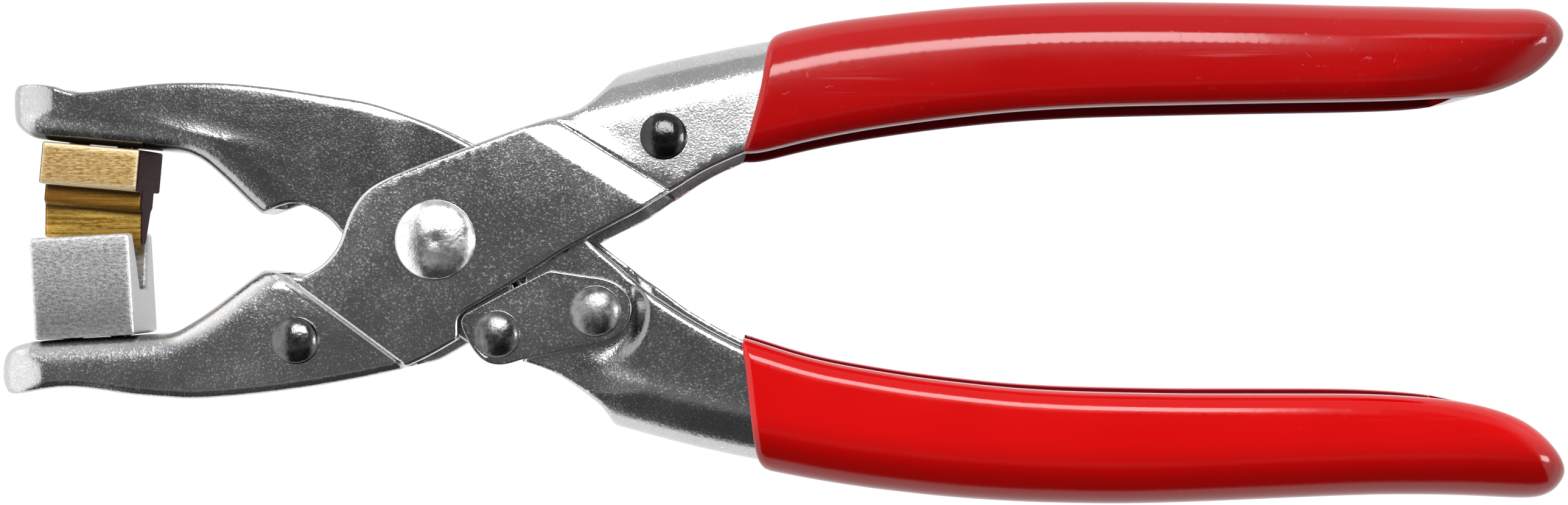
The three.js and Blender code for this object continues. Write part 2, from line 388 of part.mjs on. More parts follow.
const linkPlate = (s) => {
  const z = [MID_HALF - SHEET, MID_HALF].map((v) => v * s).sort((a, b) => a - b);
  return slab(outline([[...LINK, LINK[0]].slice(0, 3), LINK.slice(2, 5), LINK.slice(4, 15), LINK.slice(14, 22), [LINK[21], LINK[0]]]), z[0], z[1])
    .subtract(cylinder(LINK_JAW_PIN, SMALL_SHANK + CLEAR, -20, 20)).subtract(cylinder(LINK_HANDLE_PIN, SMALL_SHANK + CLEAR, -20, 20));
};

const upperChannel = [smooth(A.handleTop, 1), smooth([...A.handleBottom].reverse(), 1)];
const lowerChannel = [smooth([...C.bottom].reverse(), 1), smooth(C.top, 1)];

piece("frame_arm", frameArm(), PLATED);
piece("upper_jaw_arm", upperJawArm(), DARK);
piece("lower_handle_arm", lowerHandleArm(), PLATED);
piece("link_plate_front", linkPlate(1), PLATED);
piece("link_plate_back", linkPlate(-1), PLATED);
piece("main_pivot_rivet", rivet(MAIN_PIVOT, MAIN_SHANK, MAIN_HEAD, MID_HALF, MAIN_DOME, 28), BRIGHT);
piece("main_pivot_bush", sleeve(MAIN_PIVOT, MAIN_SHANK + CLEAR, BUSH_OUT, MID_HALF - SHEET - CLEAR), GROUND);
piece("return_spring", returnSpring(), GROUND);
piece("link_jaw_rivet", rivet(LINK_JAW_PIN, SMALL_SHANK, SMALL_HEAD, MID_HALF, SMALL_DOME), DARK);
piece("link_jaw_spacer", sleeve(LINK_JAW_PIN, SMALL_SHANK + CLEAR, 3.0, INNER_HALF - SHEET - CLEAR), GROUND);
piece("link_handle_rivet", rivet(LINK_HANDLE_PIN, SMALL_SHANK, SMALL_HEAD + 0.25, MID_HALF, SMALL_DOME), BRIGHT);
piece("link_handle_spacer", sleeve(LINK_HANDLE_PIN, SMALL_SHANK + CLEAR, 3.0, INNER_HALF - SHEET - CLEAR), GROUND);
piece("fulcrum_pin", cylinder(FULCRUM, FULCRUM_SHANK, -7.4, 7.4), GROUND);
piece("fulcrum_spacer", sleeve(FULCRUM, FULCRUM_SHANK + CLEAR, 2.9, INNER_HALF - SHEET - CLEAR), GROUND);
piece("lower_jaw_rivet", rivet(LOWER_JAW_RIVET, SMALL_SHANK, SMALL_HEAD, JAW_HALF, SMALL_DOME), DARK);
piece("lower_jaw_spacer", sleeve(LOWER_JAW_RIVET, SMALL_SHANK + CLEAR, 3.2, JAW_HALF - SHEET - CLEAR), GROUND);
piece("upper_handle_rivet", rivet(UPPER_HANDLE_RIVET, SMALL_SHANK, SMALL_HEAD, HANDLE_HALF, SMALL_DOME), DARK);
piece("upper_handle_spacer", sleeve(UPPER_HANDLE_RIVET, SMALL_SHANK + CLEAR, 3.2, HANDLE_HALF - SHEET - CLEAR), GROUND);
piece("upper_grip", grip([GRIP_UPPER.left, GRIP_UPPER.lip, GRIP_UPPER.top], [...GRIP_UPPER.top].reverse().slice(0, -5), GRIP_UPPER.lip.slice(2), upperChannel, 1), RED_DEEP);
piece("lower_grip", grip([GRIP_LOWER.left, GRIP_LOWER.bottom, GRIP_LOWER.lip], GRIP_LOWER.bottom.slice(0, -5), [...GRIP_LOWER.lip].reverse().slice(1), lowerChannel, -1), RED);
piece("upper_die", upperDie(), BRONZE);
piece("lower_die", lowerDie(), GROUND);
dieScrewsAt(UPPER_DIE, 1).forEach((at, i) => piece(`upper_die_screw_${i + 1}`, dieScrew(at, 4.4), DARK));
dieScrewsAt(LOWER_DIE, -1).forEach((at, i) => piece(`lower_die_screw_${i + 1}`, dieScrew(at, 5.0), DARK));

export default pliers;
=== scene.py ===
import math

import bmesh
import bpy
import numpy as np
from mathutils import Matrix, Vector
from mathutils.geometry import delaunay_2d_cdt


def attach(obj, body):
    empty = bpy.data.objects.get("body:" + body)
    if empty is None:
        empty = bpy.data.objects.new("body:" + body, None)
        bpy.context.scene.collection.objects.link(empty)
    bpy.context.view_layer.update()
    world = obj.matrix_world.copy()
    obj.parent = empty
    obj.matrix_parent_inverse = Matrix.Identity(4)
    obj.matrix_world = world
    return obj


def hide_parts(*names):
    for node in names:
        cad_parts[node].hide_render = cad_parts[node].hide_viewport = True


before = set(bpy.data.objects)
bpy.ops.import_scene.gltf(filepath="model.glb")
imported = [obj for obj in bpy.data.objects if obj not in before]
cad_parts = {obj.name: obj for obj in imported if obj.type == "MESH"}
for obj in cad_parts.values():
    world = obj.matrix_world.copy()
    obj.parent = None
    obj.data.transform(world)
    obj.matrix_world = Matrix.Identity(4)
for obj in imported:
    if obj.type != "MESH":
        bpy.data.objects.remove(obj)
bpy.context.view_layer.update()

MM = 0.001
SHIFT = np.array([0.48, 0.0, 10.0])

SHEET = 1.7
MID_HALF, JAW_HALF, INNER_HALF, HANDLE_HALF, GRIP_HALF = 8.2, 6.6, 6.3, 7.4, 10.0
HANDLE_END = 92.0
MAIN_PIVOT = (-47.83, 1.71)
LOWER_JAW_RIVET = (-67.25, -12.1)
UPPER_HANDLE_RIVET = (-16.54, 16.0)
LINK_JAW_PIN = (-39.33, -11.21)
LINK_HANDLE_PIN = (-25.83, -8.04)
FULCRUM = (-31.96, 2.04)
LOWER_DIE = dict(centre=(-97.0, -4.69), angle=3.3, length=13.9, height=14.1)
UPPER_DIE = dict(centre=(-95.9, 11.86), angle=-5.1, length=13.6, height=5.85)

# ------------------------------------------------------------------ outlines of the stamped pieces
A = dict(
    jaw_bottom=[(-53.1, -16.2), (-59.48, -17.55), (-66.96, -18.8), (-74.44, -19.7), (-81.24, -20.18), (-84.94, -20.02), (-90.15, -19.62), (-94.26, -19.0), (-97.88, -18.6), (-100.65, -18.68), (-102.66, -18.95), (-105.44, -19.5), (-107.2, -19.55)],
    nose_low=[(-107.2, -19.55), (-107.95, -19.25), (-108.4, -18.7)],
    nose=[(-108.4, -18.7), (-108.95, -17.6), (-109.1, -16.66), (-108.75, -15.3), (-107.9, -13.95), (-106.5, -12.95), (-104.31, -12.36)],
    jaw_top=[(-104.31, -12.36), (-96.21, -11.93), (-86.74, -11.37), (-84.4, -11.0), (-82.51, -9.95), (-79.3, -7.82), (-72.4, -2.48)],
    crown=[(-72.4, -2.48), (-69.23, -2.98), (-66.2, -3.25)],
    throat=[(-66.2, -3.25), (-64.75, -2.63), (-63.66, -1.96), (-62.58, -0.96), (-61.66, 0.21), (-60.99, 1.29), (-60.66, 2.38), (-60.16, 4.13), (-59.49, 5.63), (-58.65, 7.05), (-57.4, 8.47), (-55.82, 9.55), (-53.56, 10.64)],
    mid_top=[(-53.56, 10.64), (-47.81, 12.89), (-42.8, 14.73), (-36.63, 16.98), (-32.5, 18.4)],
    web_end=[(-32.5, 18.4), (-29.2, 19.3), (-26.55, 20.94), (-22.85, 24.96)],
    handle_top=[(-22.85, 24.96), (-16.81, 26.58), (-10.24, 27.95), (-2.39, 29.48), (9.9, 30.85), (22.95, 31.95), (36.01, 32.6), (49.07, 32.78), (60.76, 32.7), (76.11, 32.35), (HANDLE_END, 32.0)],
    handle_end=[(HANDLE_END, 32.0), (HANDLE_END, 22.9)],
    handle_bottom=[(HANDLE_END, 22.9), (82.0, 22.4), (74.61, 22.2), (59.56, 22.04), (48.1, 21.87), (35.3, 21.54), (26.77, 20.95), (18.23, 19.87), (9.7, 18.28), (1.17, 16.1), (-5.69, 13.59), (-9.37, 12.0), (-11.71, 10.83), (-14.05, 9.33), (-16.71, 7.73), (-20.02, 5.63), (-22.36, 4.46), (-24.7, 3.21), (-27.45, 1.71), (-30.54, 0.04), (-34.04, -2.21), (-37.88, -4.63), (-40.55, -6.22), (-43.14, -7.72)],
    notch=[(-43.14, -7.72), (-44.05, -8.3), (-44.64, -9.05), (-44.72, -10.05), (-44.72, -11.9)],
    mid_low=[(-44.72, -11.9), (-49.06, -14.4), (-53.1, -16.2)],
)
JAW_STEP = ((-66.98, -4.64), (-52.6, -15.34))
HANDLE_STEP = ((-32.12, 18.53), (-16.48, 8.74))
B = dict(
    nose=[(-102.4, 15.6), (-104.05, 15.9), (-105.5, 16.75), (-106.9, 18.36), (-107.6, 20.6), (-107.4, 22.2), (-106.6, 23.15)],
    nose_top=[(-106.6, 23.15), (-103.4, 23.25), (-100.7, 22.9)],
    lip=[(-100.7, 22.9), (-98.04, 22.1), (-94.68, 22.3)],
    top=[(-94.68, 22.3), (-90.48, 22.87), (-85.61, 23.35), (-81.25, 23.42), (-76.63, 23.3), (-69.92, 22.62), (-63.12, 21.6), (-57.75, 20.75), (-53.72, 19.52), (-49.69, 18.05), (-46.5, 16.62), (-43.06, 14.81)],
    hub=[(-43.06, 14.81), (-40.71, 12.6), (-39.37, 9.61), (-38.95, 5.83), (-39.03, 1.72)],
    tail_right=[(-39.03, 1.72), (-36.4, -9.5)],
    tail_end=[(-36.4, -9.5), (-36.12, -11.29), (-36.5, -12.8), (-37.43, -13.9), (-38.78, -14.5), (-40.29, -14.5), (-41.75, -13.75)],
    tail_left=[(-41.75, -13.75), (-54.39, -4.99)],
    hub_left=[(-54.39, -4.99), (-56.74, -3.15), (-58.75, -0.97), (-60.1, 1.13), (-61.02, 2.64)],
    throat=[(-61.02, 2.64), (-61.86, 3.74), (-62.95, 4.91), (-64.46, 5.83), (-65.89, 6.5), (-67.4, 6.92), (-68.74, 6.84), (-70.0, 6.42), (-71.01, 6.0), (-72.5, 5.35)],
    web=[(-72.5, 5.35), (-74.48, 7.1), (-76.51, 9.17), (-78.62, 11.12), (-80.23, 12.5), (-82.0, 13.5), (-83.7, 13.95), (-86.06, 14.15)],
    web_die=[(-86.06, 14.15), (-94.2, 14.87), (-102.4, 15.6)],
)
C = dict(
    boss=[(-35.67, 2.06), (-35.25, 3.82), (-34.16, 4.99), (-32.15, 5.58), (-30.3, 5.08), (-28.71, 3.57), (-26.75, 1.4), (-24.96, -0.1), (-22.03, -2.6), (-19.68, -4.8), (-17.76, -6.0), (-14.82, -7.95), (-10.8, -10.35), (-6.11, -12.75), (1.17, -15.8), (9.72, -18.63), (18.26, -20.14), (26.8, -21.23), (42.88, -21.5), (59.63, -21.62), (73.87, -21.82), (HANDLE_END, -23.2)],
    end=[(HANDLE_END, -23.2), (HANDLE_END, -31.75)],
    bottom=[(HANDLE_END, -31.75), (75.26, -31.95), (63.23, -32.4), (49.07, -32.82), (36.01, -32.7), (22.95, -32.0), (9.9, -30.72), (1.19, -29.65), (-3.67, -28.97), (-11.01, -27.43), (-17.49, -25.81), (-23.6, -24.1)],
    front=[(-23.6, -24.1), (-24.95, -21.55), (-28.14, -18.86), (-32.01, -16.42), (-36.1, -15.0)],
    left=[(-36.1, -15.0), (-35.1, -12.9), (-34.7, -10.9), (-35.1, -8.02), (-35.85, -4.66), (-36.05, -1.3), (-35.67, 2.06)],
)
LINK_SEAT = 5.15
LINK = [
    [(-44.3, -9.47), (-44.1, -8.75), (-43.64, -8.39)],
    [(-43.64, -8.39), (-37.88, -5.3), (-32.21, -2.46)],
    [(-32.21, -2.46), (-29.45, -2.88), (-26.62, -3.3), (-24.61, -3.6), (-22.78, -4.38), (-21.61, -5.46), (-20.9, -7.13), (-21.11, -9.05), (-22.19, -10.8), (-23.86, -11.97), (-25.61, -12.56)],
    [(-25.61, -12.56), (-36.13, -14.73)],
    [(-36.13, -14.73), (-37.8, -15.25), (-39.38, -15.39), (-40.97, -14.95), (-42.3, -13.75), (-43.22, -12.31), (-44.22, -10.22), (-44.3, -9.47)],
]
GRIP_UPPER = dict(
    left=[(-0.6, 30.5), (-1.6, 29.85), (-2.27, 28.35), (-2.86, 24.57), (-3.7, 20.37), (-4.28, 18.44), (-5.21, 14.91), (-5.75, 13.2)],
    lip=[(-5.75, 13.2), (-5.2, 12.85), (-4.0, 13.0), (1.0, 14.34), (6.03, 15.44), (11.06, 16.36), (16.1, 17.12), (21.1, 17.8), (26.1, 18.38), (31.2, 18.88), (36.2, 19.23), (41.2, 19.49), (46.2, 19.67), (56.3, 19.9), (66.3, 20.1), (76.4, 20.26), (81.4, 20.36), (86.4, 20.52), (91.5, 20.85), (96.5, 21.6), (99.5, 22.6), (102.0, 23.56), (103.8, 24.57), (105.0, 25.6), (106.05, 26.6), (106.8, 27.6), (107.5, 28.6), (108.0, 29.63), (108.15, 30.64)],
    back=[(108.15, 30.64), (107.95, 31.8), (107.3, 32.8), (106.3, 33.6), (104.6, 33.97), (102.2, 33.95), (97.1, 33.9), (87.0, 34.12), (76.9, 34.29), (66.8, 34.55), (56.6, 34.71), (46.5, 34.8), (36.4, 34.63), (26.3, 34.13), (16.2, 33.2), (6.07, 31.93), (-0.6, 30.5)],
)
GRIP_LOWER = dict(
    left=[(-5.6, -11.75), (-5.85, -12.9), (-5.4, -14.6), (-4.85, -19.62), (-4.1, -26.0), (-3.45, -29.0), (-2.48, -30.2)],
    back=[(-2.48, -30.2), (1.01, -30.9), (6.07, -31.81), (11.1, -32.57), (16.2, -33.2), (21.2, -33.75), (26.3, -34.17), (31.4, -34.48), (36.4, -34.69), (46.5, -34.84), (56.6, -34.6), (66.8, -34.17), (76.9, -33.75), (84.5, -33.56), (92.0, -33.64), (97.1, -33.85), (102.2, -34.12), (104.6, -34.18), (106.2, -33.95), (107.3, -33.2), (107.95, -32.1), (108.15, -30.95)],
    lip=[(108.15, -30.95), (108.0, -29.85), (107.6, -28.75), (107.0, -27.7), (106.25, -26.7), (105.4, -25.76), (104.3, -24.75), (103.0, -23.7), (101.25, -22.7), (98.55, -21.7), (95.1, -20.85), (91.5, -20.25), (86.4, -19.81), (81.4, -19.56), (76.4, -19.48), (66.3, -19.47), (56.3, -19.46), (51.3, -19.39), (46.2, -19.3), (41.2, -19.18), (36.2, -18.97), (31.2, -18.64), (26.1, -18.13), (21.1, -17.55), (16.1, -16.88), (11.06, -16.04), (6.03, -15.12), (1.0, -13.86), (-4.0, -12.19), (-5.6, -11.75)],
)


# ------------------------------------------------------------------ plane geometry
def dense(points, step=0.4, soften=14):
    """A run of an outline as closely spaced points on a smooth curve, with its traced jitter softened."""
    p = np.array(points, float)
    out = []
    for i in range(len(p) - 1):
        p0, p1, p2, p3 = p[max(i - 1, 0)], p[i], p[i + 1], p[min(i + 2, len(p) - 1)]
        n = max(1, int(math.ceil(np.linalg.norm(p2 - p1) / step)))
        for k in range(n):
            t = k / n
            if len(p) == 2:
                out.append(p1 + (p2 - p1) * t)
                continue
            v0, v1 = (p2 - p0) * 0.5, (p3 - p1) * 0.5
            out.append((2 * p1 - 2 * p2 + v0 + v1) * t ** 3 + (-3 * p1 + 3 * p2 - 2 * v0 - v1) * t ** 2 + v0 * t + p1)
    out.append(p[-1])
    out = np.array(out)
    if len(p) > 2:
        for _ in range(soften):
            out[1:-1] = 0.25 * out[:-2] + 0.5 * out[1:-1] + 0.25 * out[2:]
    return out


def join_runs(runs, step=0.4, soften=None):
    """Runs joined end to end, counter-clockwise, with the name of each edge's run."""
    pts, tags = [], []
    for name, points in runs:
        d = dense(points, step, (soften or {}).get(name, 14))
        pts.extend(d[:-1])
        tags.extend([name] * (len(d) - 1))
    pts = np.array(pts)
    nxt = np.roll(pts, -1, 0)
    area = 0.5 * np.sum(pts[:, 0] * nxt[:, 1] - nxt[:, 0] * pts[:, 1])
    if area < 0:
        pts = pts[::-1].copy()
        tags = (tags[::-1])[1:] + [tags[::-1][0]]
    return pts, tags


def path_distance(q, path):
    """Distance of each point to an open path."""
    a = path[:-1]
    ab = path[1:] - a
    l2 = np.maximum((ab ** 2).sum(1), 1e-12)
    ux, uy = ab[:, 0] / l2, ab[:, 1] / l2
    out = np.empty(len(q))
    for s in range(0, len(q), 2000):
        dx = q[s:s + 2000, 0:1] - a[:, 0]
        dy = q[s:s + 2000, 1:2] - a[:, 1]
        t = dx * ux + dy * uy
        np.clip(t, 0, 1, out=t)
        dx -= t * ab[:, 0]
        dy -= t * ab[:, 1]
        dx *= dx
        dy *= dy
        dx += dy
        out[s:s + 2000] = np.sqrt(dx.min(1))
    return out


def contains(poly, q):
    a, b = poly, np.roll(poly, -1, 0)
    out = np.zeros(len(q), bool)
    for s in range(0, len(q), 4000):
        x, y = q[s:s + 4000, 0:1], q[s:s + 4000, 1:2]
        hit = (a[:, 1] > y) != (b[:, 1] > y)
        with np.errstate(divide="ignore", invalid="ignore"):
            cross = x < (b[:, 0] - a[:, 0]) * (y - a[:, 1]) / (b[:, 1] - a[:, 1]) + a[:, 0]
        out[s:s + 4000] = (hit & cross).sum(1) % 2 == 1
    return out


def normals_of(path):
    """Left-hand normals at the points of an open path."""
    d = np.gradient(path, axis=0)
    d /= np.maximum(np.linalg.norm(d, axis=1, keepdims=True), 1e-9)
    return np.stack([-d[:, 1], d[:, 0]], 1)


def moved(path, distance):
    return path + normals_of(path) * distance


def left_of(q, line):
    """Signed distance to the left of a line."""
    (x0, y0), (x1, y1) = line
    l = math.hypot(x1 - x0, y1 - y0)
    return (-(y1 - y0) * (q[:, 0] - x0) + (x1 - x0) * (q[:, 1] - y0)) / l


def left_of_path(q, path):
    """Signed distance to an open path, positive on its left."""
    d = path_distance(q, path)
    k = np.array([int(np.argmin(((path - p) ** 2).sum(1))) for p in q]) if len(q) else np.zeros(0, int)
    n = normals_of(path)[k]
    return np.where(((q - path[k]) * n).sum(1) >= 0, d, -d)


def along(q, line):
    (x0, y0), (x1, y1) = line
    l = math.hypot(x1 - x0, y1 - y0)
    return ((x1 - x0) * (q[:, 0] - x0) + (y1 - y0) * (q[:, 1] - y0)) / l


def ramp(x, a, b):
    t = np.clip((x - a) / (b - a), 0, 1)
    return t * t * (3 - 2 * t)


def fall(d, high, wide=None, power=2.0):
    """How far a rounded edge has dropped at distance d from it: a quarter ellipse, high by wide, or a fuller curve."""
    wide = high if wide is None else wide
    q = np.clip((wide - d) / wide, 0, 1)
    return high * (1 - np.maximum(0, 1 - q ** power) ** (1 / power))


def slope_in(d, wide, slope, soft=0.25):
    """How far an even slope along an edge has dropped at distance d from it; it starts softly, wide from the edge."""
    s = np.clip(wide - d, 0, None)
    return slope * s * s / (s + soft)


def bend_rings(wide, n=9):
    return [wide * (1 - math.cos(math.radians(90 * k / n))) for k in range(1, n + 1)]


def fill(loop, holes, points):
    """Triangles that fill a loop, round its holes and through the points."""
    loops = [loop] + holes
    coords = np.concatenate(loops + ([points] if len(points) else []))
    edges, s = [], 0
    for l in loops:
        edges += [(s + i, s + (i + 1) % len(l)) for i in range(len(l))]
        s += len(l)
    v, _, f, ov, _, _ = delaunay_2d_cdt([Vector(c) for c in coords.tolist()], edges, [], 1, 1e-5)
    pts = np.array([coords[o[0]] if o else (p[0], p[1]) for p, o in zip(v, ov)])
    tri = np.array([t for t in f if len(t) == 3])
    mid = pts[tri].mean(1)
    keep = contains(loop, mid)
    for h in holes:
        c = h.mean(0)
        keep &= np.hypot(*(mid - c).T) > np.hypot(*(h[0] - c)) * 0.97
    return pts, tri[keep]


def thin_out(points, cell=0.05):
    seen, out = set(), []
    for p in points:
        k = (int(p[0] // cell), int(p[1] // cell))
        if k not in seen:
            seen.add(k)
            out.append(p)
    return np.array(out) if out else np.zeros((0, 2))


def lattice(loop, step):
    lo, hi = loop.min(0), loop.max(0)
    rows = []
    for j, y in enumerate(np.arange(lo[1], hi[1], step * 0.866)):
        rows.append(np.stack([np.arange(lo[0] + (j % 2) * step / 2, hi[0], step), np.full(len(np.arange(lo[0] + (j % 2) * step / 2, hi[0], step)), y)], 1))
    return np.concatenate(rows)


# ------------------------------------------------------------------ meshes
def weld(polys):
    """Polygons given by their corners, with equal corners made one."""
    count = np.array([len(p) for p in polys])
    flat = np.array([c for p in polys for c in p], float)
    k = np.round((flat + 400.0) * 1e4).astype(np.int64) - np.array([2800000, 2800000, 3800000])
    key = k[:, 0] * (1 << 41) + k[:, 1] * (1 << 19) + k[:, 2]
    _, first, where = np.unique(key, return_index=True, return_inverse=True)
    verts = flat[first]
    faces, s = [], 0
    where = where.tolist()
    for c in count.tolist():
        f = []
        for i in where[s:s + c]:
            if i not in f:
                f.append(i)
        s += c
        if len(f) >= 3:
            faces.append(f)
    return verts, faces


def piece(name, verts, faces, body, nodes, material, sharp=34, attributes=None):
    """One finished piece, from millimetres about the mid plane."""
    v = np.asarray(verts, float)
    me = bpy.data.meshes.new(name)
    me.from_pydata(((v + SHIFT) * MM).tolist(), [], [list(map(int, f)) for f in faces])
    bm = bmesh.new()
    bm.from_mesh(me)
    bmesh.ops.recalc_face_normals(bm, faces=bm.faces)
    bm.to_mesh(me)
    bm.free()
    me.validate()
    me.shade_smooth()
    me.set_sharp_from_angle(angle=math.radians(sharp))
    if attributes:
        n = len(me.vertices)
        co = np.empty(n * 3)
        me.vertices.foreach_get("co", co)
        co = co.reshape(-1, 3) / MM - SHIFT
        for key, fn in attributes.items():
            a = me.attributes.new(key, "FLOAT", "POINT")
            a.data.foreach_set("value", np.asarray(fn(co), np.float32))
    ob = bpy.data.objects.new(name, me)
    bpy.context.scene.collection.objects.link(ob)
    me.materials.append(material)
    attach(ob, body)
    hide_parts(*nodes)
    return ob


def circle(at, r, n=48):
    a = np.arange(n) * 2 * math.pi / n
    return np.stack([at[0] + r * np.cos(a), at[1] + r * np.sin(a)], 1)


def crossings(loop, path):
    """Where a closed loop crosses an open path: (edge of loop, place on it, edge of path, place on it, leaving)."""
    a, b = loop, np.roll(loop, -1, 0)
    found = []
    for j in range(len(path) - 1):
        c, d = path[j], path[j + 1]
        r, s = b - a, d - c
        den = r[:, 0] * s[1] - r[:, 1] * s[0]
        with np.errstate(divide="ignore", invalid="ignore"):
            t = ((c[0] - a[:, 0]) * s[1] - (c[1] - a[:, 1]) * s[0]) / den
            u = ((c[0] - a[:, 0]) * r[:, 1] - (c[1] - a[:, 1]) * r[:, 0]) / den
        for i in np.where((np.abs(den) > 1e-12) & (t >= 0) & (t < 1) & (u >= 0) & (u < 1))[0]:
            found.append((int(i), float(t[i]), j, float(u[i]), s[0] * r[i, 1] - s[1] * r[i, 0] < 0))
    return found


def folded_shell(loop, tags, closed, cuts, outer, inner, rings, holes=(), extra=None, step=1.3, walls=None):
    """A symmetrical shell of sheet folded along the runs named in closed. outer and inner give the height of its two
    skins over the plan; inside each cut path the sheet is hollow, beyond it solid. Returns polygons."""
    # crossings of the plan with each cut path go into the plan
    marks = []
    for c, path in enumerate(cuts):
        found = crossings(loop, path)
        leave = [f for f in found if f[4]]
        enter = [f for f in found if not f[4]]
        if not leave or not enter:
            raise RuntimeError(f"cut path {c} crosses its plan {len(found)} times")
        a, b = min(leave, key=lambda f: f[2] + f[3]), max(enter, key=lambda f: f[2] + f[3])
        marks += [(a[0] + a[1], "a", c, a[2]), (b[0] + b[1], "b", c, b[2])]
    marks.sort()
    pts, tag, kind = [], [], []
    m = 0
    for i in range(len(loop)):
        pts.append(loop[i]); tag.append(tags[i]); kind.append(None)
        while m < len(marks) and int(marks[m][0]) == i:
            s = marks[m][0] - i
            pts.append(loop[i] + (loop[(i + 1) % len(loop)] - loop[i]) * s)
            tag.append(tags[i]); kind.append(marks[m][1:])
            m += 1
    pts = np.array(pts)
    n = len(pts)
    ends = {k[1]: {} for k in kind if k}
    for i, k in enumerate(kind):
        if k:
            ends[k[1]][k[0]] = (i, k[2])
    solid = np.zeros(n, bool)  # edges beyond a cut
    for c, e in ends.items():
        i = e["a"][0]
        while i != e["b"][0]:
            solid[i] = True
            i = (i + 1) % n
    # the hollow's plan
    start = next(e["b"][0] for e in ends.values()) if ends else 0
    inner_pts, on_plan = [], []
    i = start
    while True:
        inner_pts.append(pts[i]); on_plan.append(True)
        if kind[i] and kind[i][0] == "a":
            c = kind[i][1]
            on_plan[-1] = False
            for j in range(ends[c]["a"][1] + 1, ends[c]["b"][1] + 1):
                inner_pts.append(cuts[c][j]); on_plan.append(False)
            i = ends[c]["b"][0]
        else:
            i = (i + 1) % n
        if i == start:
            break
    inner_pts = np.array(inner_pts)
    hole_loops = [circle(*h) for h in holes]

    # points inside: rings along bends and rolled edges, then an even lattice
    found = []
    for path, offsets in rings:
        nrm = normals_of(path)
        for o in offsets:
            q = path + nrm * o
            q = q[contains(pts, q)]
            if not len(q):
                continue
            ok = path_distance(q, path) > 0.97 * o - 0.003
            closed_loop = np.concatenate([pts, pts[:1]])
            ok &= path_distance(q, closed_loop) > min(0.94 * o, 0.14) - 0.002
            found.append(q[ok])
    if extra is not None:
        q = extra[contains(pts, extra)]
        ok = path_distance(q, np.concatenate([pts, pts[:1]])) > 0.15
        found.append(q[ok])
    grid = lattice(pts, step)
    grid = grid[contains(pts, grid)]
    grid = grid[path_distance(grid, np.concatenate([pts, pts[:1]])) > 0.4]
    found.append(grid)
    free = thin_out(np.concatenate(found))
    for h in holes:
        free = free[np.hypot(free[:, 0] - h[0][0], free[:, 1] - h[0][1]) > h[1] + 0.12]
    polys = []

    def both(points3, flip=False):
        polys.append(points3)
        polys.append([(p[0], p[1], -p[2]) for p in points3][::-1])

    v, tri = fill(pts, hole_loops, free)
    z = outer(v)
    for t in tri:
        both([(v[k, 0], v[k, 1], z[k]) for k in t])
    own = free[contains(inner_pts, free)]
    own = own[path_distance(own, np.concatenate([inner_pts, inner_pts[:1]])) > 0.1]
    vi, tri_i = fill(inner_pts, hole_loops, own)
    zi = inner(vi)
    for t in tri_i:
        both([(vi[k, 0], vi[k, 1], zi[k]) for k in t[::-1]])
    zo_p, zi_p = outer(pts), inner(pts)
    for i in range(n):
        k = (i + 1) % n
        p, q = pts[i], pts[k]
        if solid[i]:
            if tag[i] in closed:
                polys.append([(p[0], p[1], zo_p[i]), (q[0], q[1], zo_p[k]), (q[0], q[1], 0), (p[0], p[1], 0)])
                polys.append([(p[0], p[1], 0), (q[0], q[1], 0), (q[0], q[1], -zo_p[k]), (p[0], p[1], -zo_p[i])])
            else:
                cap = [(p[0], p[1], zo_p[i]), (q[0], q[1], zo_p[k])]
                if kind[k]:
                    cap.append((q[0], q[1], zi_p[k]))
                cap += [(q[0], q[1], 0), (p[0], p[1], 0)]
                if kind[i]:
                    cap.append((p[0], p[1], zi_p[i]))
                both(cap)
        else:
            both([(p[0], p[1], zo_p[i]), (q[0], q[1], zo_p[k]), (q[0], q[1], zi_p[k]), (p[0], p[1], zi_p[i])])
    zi_l = inner(inner_pts)
    for i in range(len(inner_pts)):
        k = (i + 1) % len(inner_pts)
        if on_plan[i]:
            continue
        p, q = inner_pts[i], inner_pts[k]
        both([(p[0], p[1], zi_l[i]), (q[0], q[1], zi_l[k]), (q[0], q[1], 0), (p[0], p[1], 0)])
    for h in hole_loops:
        zo_h, zi_h = outer(h), inner(h)
        for i in range(len(h)):
            k = (i + 1) % len(h)
            both([(h[i, 0], h[i, 1], zo_h[i]), (h[k, 0], h[k, 1], zo_h[k]), (h[k, 0], h[k, 1], zi_h[k]), (h[i, 0], h[i, 1], zi_h[i])])
    return weld(polys)


def run_path(loop, tags, names):
    """The part of a plan that the named runs cover, as an open path in the plan's direction."""
    n = len(loop)
    on = [t in names for t in tags]
    start = next(i for i in range(n) if on[i] and not on[i - 1])
    out, i = [loop[start]], start
    while on[i % n]:
        i += 1
        out.append(loop[i % n])
        if i - start > n:
            break
    return np.array(out)


def extended(path, before=(), after=()):
    """A path led on at both ends, through points spaced like its own."""
    parts = []
    if len(before):
        parts.append(dense(list(before) + [tuple(path[0])], 0.4, 2)[:-1])
    parts.append(path)
    if len(after):
        parts.append(dense([tuple(path[-1])] + list(after), 0.4, 2)[1:])
    return np.concatenate(parts)


def open_paths(loop, tags, closed):
    """The open edges of a plan, as paths."""
    n = len(loop)
    on = [t not in closed for t in tags]
    if all(on):
        return [np.concatenate([loop, loop[:1]])]
    out = []
    for s in range(n):
        if on[s] and not on[s - 1]:
            p, i = [loop[s]], s
            while on[i % n]:
                i += 1
                p.append(loop[i % n])
            out.append(np.array(p))
    return out


def nearest(q, paths):
    return np.min([path_distance(q, p) for p in paths], 0)


